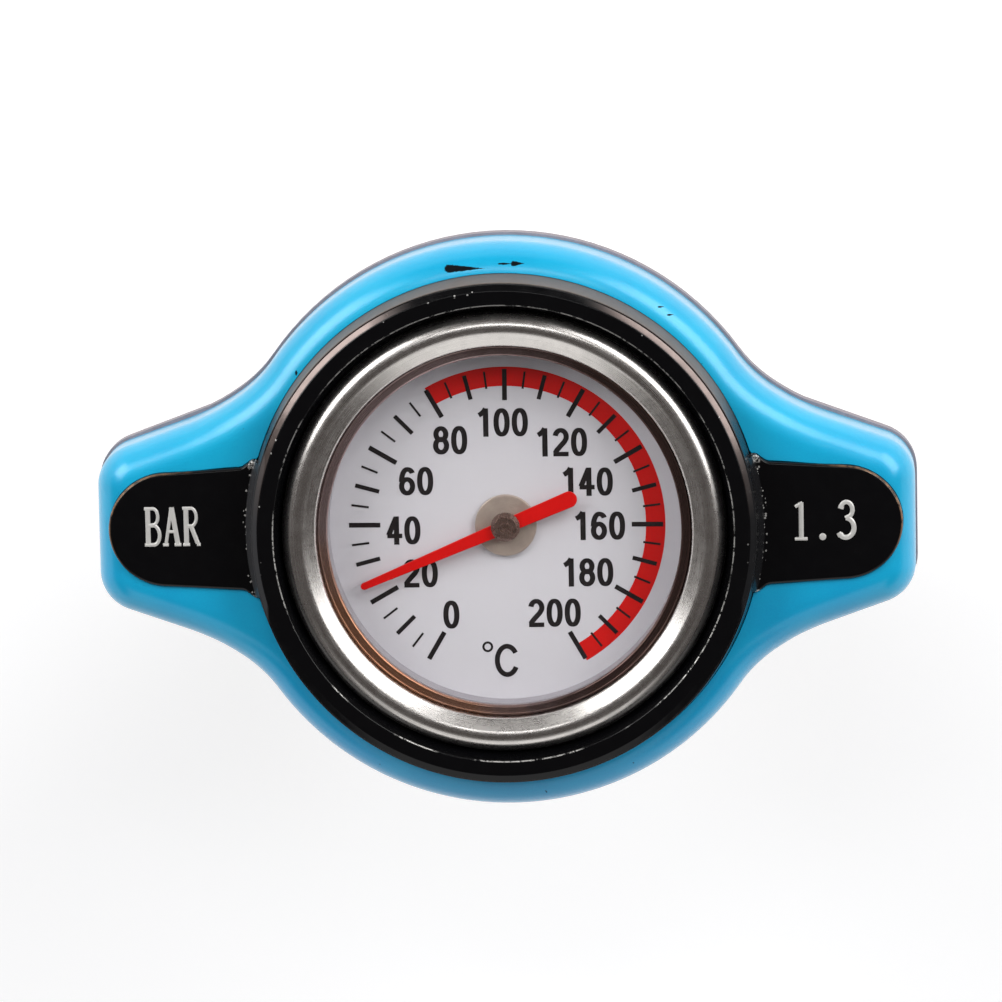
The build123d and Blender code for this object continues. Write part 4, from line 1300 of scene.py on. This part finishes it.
def straightRun(start, end, count):
    share = np.linspace(0, 1, count)[:, None]
    return np.array(start) + (np.array(end) - np.array(start)) * share


# Angles round a circle that include every break, in degrees, at about the given step.
def anglesWith(breaks, step):
    breaks = sorted(breaks)
    runs = []
    for a, b in zip(breaks, breaks[1:] + [breaks[0] + 360]):
        runs.append(np.linspace(a, b, max(2, ceil((b - a) / step)) + 1)[:-1])
    return np.concatenate(runs)


# Cup whose skirt is short, save for two tongues that run lower and fold inwards as ears.
def bayonetShell():
    values = shellValues
    outerR, low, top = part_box("bayonet_shell")[1].x / mm, *[c.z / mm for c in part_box("bayonet_shell")]
    thick, bend = values["thick"], values["bendR"]

    def face(inset):
        r, high, foot, turnR = outerR - inset, top - inset, low + inset, bend - inset
        return np.concatenate([
            straightRun((values["boreR"], high), (r - turnR, high), 12)[:-1],
            arcRun((r - turnR, high - turnR), turnR, 90, 0)[:-1],
            straightRun((r, high - turnR), (r, values["skirtLow"]), 8)[:-1],
            straightRun((r, values["skirtLow"]), (r, foot + turnR), 4)[:-1],
            arcRun((r - turnR, foot + turnR), turnR, 0, -90)[:-1],
            straightRun((r - turnR, foot), (values["earInnerR"], foot), 6)])

    half = values["earSpan"] / 2
    angles = anglesWith([90 - half, 90 + half, 270 - half, 270 + half], 2.0)
    outer, inner = turnedSheet(face(0.0), face(thick), np.radians(angles))
    columns = outer.shape[1] - 1
    skirtColumn = 11 + 8 + 7
    middles = angles + 0.5
    onEar = (np.abs((middles - 90 + 180) % 360 - 180) < half) | (np.abs((middles - 270 + 180) % 360 - 180) < half)
    keep = (np.arange(columns)[None, :] < skirtColumn) | onEar[:, None]
    shape = sheet(outer, inner, keep)
    addPiece("bayonet_pressing", [shape], "cap_body", finishes["zinc"], ("bayonet_shell",), bevel=0.1)


# Rivets, diaphragm and gasket.
def neckPieces():
    low, top = [c.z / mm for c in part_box("shell_rivets")]
    corners = [(0, low, 0), (2.1, low, 0.05), (1.3, low + 0.55, 0.05), (1.3, top, 0.1), (0, top, 0)]
    points, faces = lathe(rounded(corners, closed=False), closed=False, around=32)
    shapes = []
    for k in range(4):
        angle = radians(45 + 90 * k)
        shapes.append((points + (17.6 * cos(angle), 17.6 * sin(angle), 0), faces))
    addPiece("rivets_flush", shapes, "cap_body", finishes["zinc"], ("shell_rivets",), merge=True)
    edgeR, low, top = roundSize("diaphragm_disc")
    thick, hubR, land = 0.4, 8.2, edgeR - 5.6
    corners = [(5.02, top, 0.05), (hubR, top, 1.0), (land, low + thick, 2.0), (edgeR, low + thick, 0.1),
               (edgeR, low, 0.1), (land, low, 2.0), (hubR, top - thick, 1.0), (5.02, top - thick, 0.05)]
    turnedPiece("diaphragm_dished", corners, "cap_body", "case", "diaphragm_disc")
    ringPiece("neck_seal", "neck_gasket", 16.6, 0.2, "cap_body", "rubber")


bayonetShell()
neckPieces()
print("bayonet made")


# Valve

bellValues = {"thick": 0.8, "bendR": 1.3, "boreR": 5.06, "windows": 4, "windowSpan": 50.0,
              "windowLow": -7.42, "windowHigh": -2.42}


# Inverted cup with windows in its wall.
def springBell():
    values = bellValues
    outerR, low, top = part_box("spring_bell")[1].x / mm, *[c.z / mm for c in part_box("spring_bell")]

    def face(inset):
        r, high, turnR = outerR - inset, top - inset, values["bendR"] - inset
        return np.concatenate([
            straightRun((values["boreR"], high), (r - turnR, high), 8)[:-1],
            arcRun((r - turnR, high - turnR), turnR, 90, 0)[:-1],
            straightRun((r, high - turnR), (r, values["windowHigh"]), 4)[:-1],
            straightRun((r, values["windowHigh"]), (r, values["windowLow"]), 8)[:-1],
            straightRun((r, values["windowLow"]), (r, low), 4)])

    half = values["windowSpan"] / 2
    centres = [90 * k for k in range(values["windows"])]
    angles = anglesWith([c - half for c in centres] + [c + half for c in centres], 2.5)
    outer, inner = turnedSheet(face(0.0), face(values["thick"]), np.radians(angles))
    column = np.arange(outer.shape[1] - 1)
    inBand = (column >= 7 + 8 + 3) & (column < 7 + 8 + 3 + 7)
    middles = angles + 0.5
    inWindow = np.abs((middles + 45) % 90 - 45) < half
    shape = sheet(outer, inner, ~(inBand[None, :] & inWindow[:, None]))
    addPiece("bell_pressing", [shape], "valve_cage", finishes["zinc"], ("spring_bell",), bevel=0.08)


# Open coil spring with closed, ground ends: the height eases in and out over the end turns.
def coilSpring(name, node, meanR, wireR, turns, body, endTurns=0.9):
    low, top = [c.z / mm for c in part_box(node)]
    angle = np.linspace(0, tau, 14, endpoint=False)
    section = np.stack([np.cos(angle), np.sin(angle)], 1) * wireR

    def climb(share):
        made = share * turns
        start, rest = endTurns, turns - 2 * endTurns
        closedRise = 1.6 * wireR / (top - low)
        middle = np.clip((made - start) / rest, 0, 1)
        rise = closedRise * np.clip(made / start, 0, 1) + closedRise * np.clip((made - start - rest) / start, 0, 1)
        return made, rise + (1 - 2 * closedRise) * middle

    inset = 0.55 * wireR
    points, faces = helixTube(meanR, climb, section, low + inset, top - inset, int(turns * 90))
    points[:, 2] = np.clip(points[:, 2], low, top)
    return addPiece(name, [(points, faces)], body, finishes["spring"], (node,))


def valvePieces():
    springBell()
    main = coilSpring("spring_main", "main_spring", 10.6, 0.8, 6.4, "valve_cage")
    light = coilSpring("spring_light", "vacuum_spring", 5.79, 0.2, 4.4, "pressure_valve")
    smoothCopy("plate_ported", "pressure_plate", "pressure_valve", finishes["zinc"])
    sealR, low, top = roundSize("pressure_seal")
    landR = sealR - 4.0
    corners = [(7.8, top, 0.1), (sealR, top, 0.25), (sealR, low, 0.3), (landR, low, 0.3), (landR, low + 0.8, 0.2),
               (7.8, low + 0.8, 0.2)]
    turnedPiece("seal_moulded", corners, "pressure_valve", "rubber", "pressure_seal")
    discR, low, top = roundSize("vacuum_disc")
    corners = [(4.67, top, 0.05), (discR, top, 0.15), (discR, top - 0.8, 0.15), (5.47, top - 0.8, 0.1),
               (5.47, low, 0.1), (4.67, low, 0.05)]
    turnedPiece("disc_vacuum", corners, "vacuum_valve", "brass", "vacuum_disc", around=128)
    ringPiece("seat_light_spring", "vacuum_spring_seat", 4.63, 0.12, "pressure_valve", "zinc", around=128)
    for spring, joint, node, fixedTop in ((main, "pressure_valve_lift", "main_spring", True),
                                          (light, "vacuum_valve_drop", "vacuum_spring", False)):
        low, top = [c.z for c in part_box(node)]
        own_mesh(spring)


valvePieces()
print("valve made")


# Camera, lights and stage

photoView = {
    "tiltBack": 8.9, "tiltRight": 2.7, "roll": 1.10, "distance": 600.0, "fieldWidth": 88.6, "sensor": 36.0,
    "aimRight": -0.73, "aimUp": 1.03, "baseZ": 0.9,
}


# Looks down the dial's axis, tilted a little; the base's middle lands right of and below the picture's middle.
def addCamera():
    values = photoView
    back = np.array([sin(radians(values["tiltRight"])), sin(radians(values["tiltBack"])), 0.0])
    back[2] = (1 - back @ back) ** 0.5
    up = np.array([0.0, 1.0, 0.0])
    up -= back * (up @ back)
    up /= np.linalg.norm(up)
    right = np.cross(up, back)
    roll = radians(values["roll"])
    right, up = right * cos(roll) - up * sin(roll), right * sin(roll) + up * cos(roll)
    aim = np.array([0, 0, values["baseZ"]]) + right * values["aimRight"] + up * values["aimUp"]
    place = (aim + back * values["distance"]) * mm
    lens = bpy.data.cameras.new("camera")
    lens.sensor_width = values["sensor"]
    lens.lens = values["sensor"] * values["distance"] / values["fieldWidth"]
    lens.clip_start, lens.clip_end = 0.05, 20
    camera = bpy.data.objects.new("camera", lens)
    bpy.context.scene.collection.objects.link(camera)
    rows = np.eye(4)
    rows[:3, 0], rows[:3, 1], rows[:3, 2], rows[:3, 3] = right, up, back, place
    camera.matrix_world = Matrix(rows.tolist())
    bpy.context.scene.camera = camera


softLights = (            # name, azimuth from +X towards +Y, elevation, distance, width, height, watts
    ("lightLeft", 143.0, 34.0, 0.40, 0.20, 0.21, 0.66),
    ("lightRight", 38.0, 34.0, 0.40, 0.33, 0.21, 0.92),
    ("lightTop", 92.0, 62.0, 0.45, 0.20, 0.06, 0.14),
)


def addLights():
    for name, azimuth, elevation, distance, width, height, watts in softLights:
        lamp = bpy.data.lights.new(name, "AREA")
        lamp.shape, lamp.size, lamp.size_y, lamp.energy = "RECTANGLE", width, height, watts
        light = bpy.data.objects.new(name, lamp)
        bpy.context.scene.collection.objects.link(light)
        a, e = radians(azimuth), radians(elevation)
        way = np.array([cos(a) * cos(e), sin(a) * cos(e), sin(e)])
        side = np.array([-sin(a), cos(a), 0.0])
        rows = np.eye(4)
        rows[:3, 0], rows[:3, 1], rows[:3, 2], rows[:3, 3] = side, np.cross(way, side), way, way * distance
        light.matrix_world = Matrix(rows.tolist())


worldValues = {"ambient": 0.32, "zenith": (0.06, 0.052, 0.049, 1.0), "horizon": (1.0, 1.0, 1.0, 1.0),
               "from": 0.10, "to": 0.46, "card": (0.9, 0.89, 0.88, 1.0)}


# 1 for what the camera sees, itself or in metal and glass.
def directRay(tree):
    ray = addNode(tree, "LightPath")
    direct = calculate(tree, "MAXIMUM", ray.outputs["Is Camera Ray"], ray.outputs["Is Glossy Ray"])
    return calculate(tree, "MAXIMUM", direct, ray.outputs["Is Transmission Ray"])


# White low down for the camera, metal and glass, with a pale card in front and dark overhead; an even fill
# lights the rest.
def addWorld():
    world = bpy.data.worlds.new("studio")
    bpy.context.scene.world = world
    world.use_nodes = True
    tree = world.node_tree
    tree.nodes.clear()
    way = addNode(tree, "TexCoord").outputs["Generated"]
    split = addNode(tree, "SeparateXYZ", {0: way})
    share = remap(tree, split.outputs[2], worldValues["from"], worldValues["to"], smooth=True)
    seen = mixColour(tree, share, worldValues["horizon"], worldValues["zenith"])
    card = calculate(tree, "MULTIPLY", band(tree, split.outputs[0], -0.04, 0.36, 0.12),
                     remap(tree, split.outputs[1], -0.34, -0.46))
    card = calculate(tree, "MULTIPLY", card, remap(tree, split.outputs[2], 0.80, 0.70))
    seen = mixColour(tree, card, seen, worldValues["card"])
    direct = directRay(tree)
    tint = mixColour(tree, direct, (1.0, 1.0, 1.0, 1.0), seen)
    strength = remap(tree, direct, 0.0, 1.0, worldValues["ambient"], 1.0)
    shader = addNode(tree, "Background", {"Color": tint, "Strength": strength})
    output = addNode(tree, "OutputWorld")
    tree.links.new(shader.outputs[0], output.inputs["Surface"])


floorValues = {"radius": 1.6, "gap": 0.2, "shown": 0.42}


# Round pale floor under the probe's tip.
def addFloor():
    radius = floorValues["radius"] / mm
    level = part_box("stem_tip")[0].z / mm - floorValues["gap"]
    angle = np.linspace(0, tau, 96, endpoint=False)
    points = np.stack([radius * np.cos(angle), radius * np.sin(angle), 0 * angle + level], 1) * mm
    mesh = bpy.data.meshes.new("floor")
    mesh.from_pydata(points.tolist(), [], [list(range(len(points)))])
    material = bpy.data.materials.new("floorPale")
    material.use_nodes = True
    tree = material.node_tree
    shader = tree.nodes["Principled BSDF"]
    shader.inputs["Base Color"].default_value = (0.86, 0.86, 0.87, 1.0)
    shader.inputs["Roughness"].default_value = 0.9
    shader.inputs["Emission Color"].default_value = (1.0, 1.0, 1.0, 1.0)
    shown = calculate(tree, "MULTIPLY", directRay(tree), floorValues["shown"])
    tree.links.new(shown, shader.inputs["Emission Strength"])
    mesh.materials.append(material)
    floor = bpy.data.objects.new("floor", mesh)
    bpy.context.scene.collection.objects.link(floor)


addCamera()
addLights()
addWorld()
addFloor()
bpy.context.scene.view_settings.view_transform = "Standard"
print("stage made")
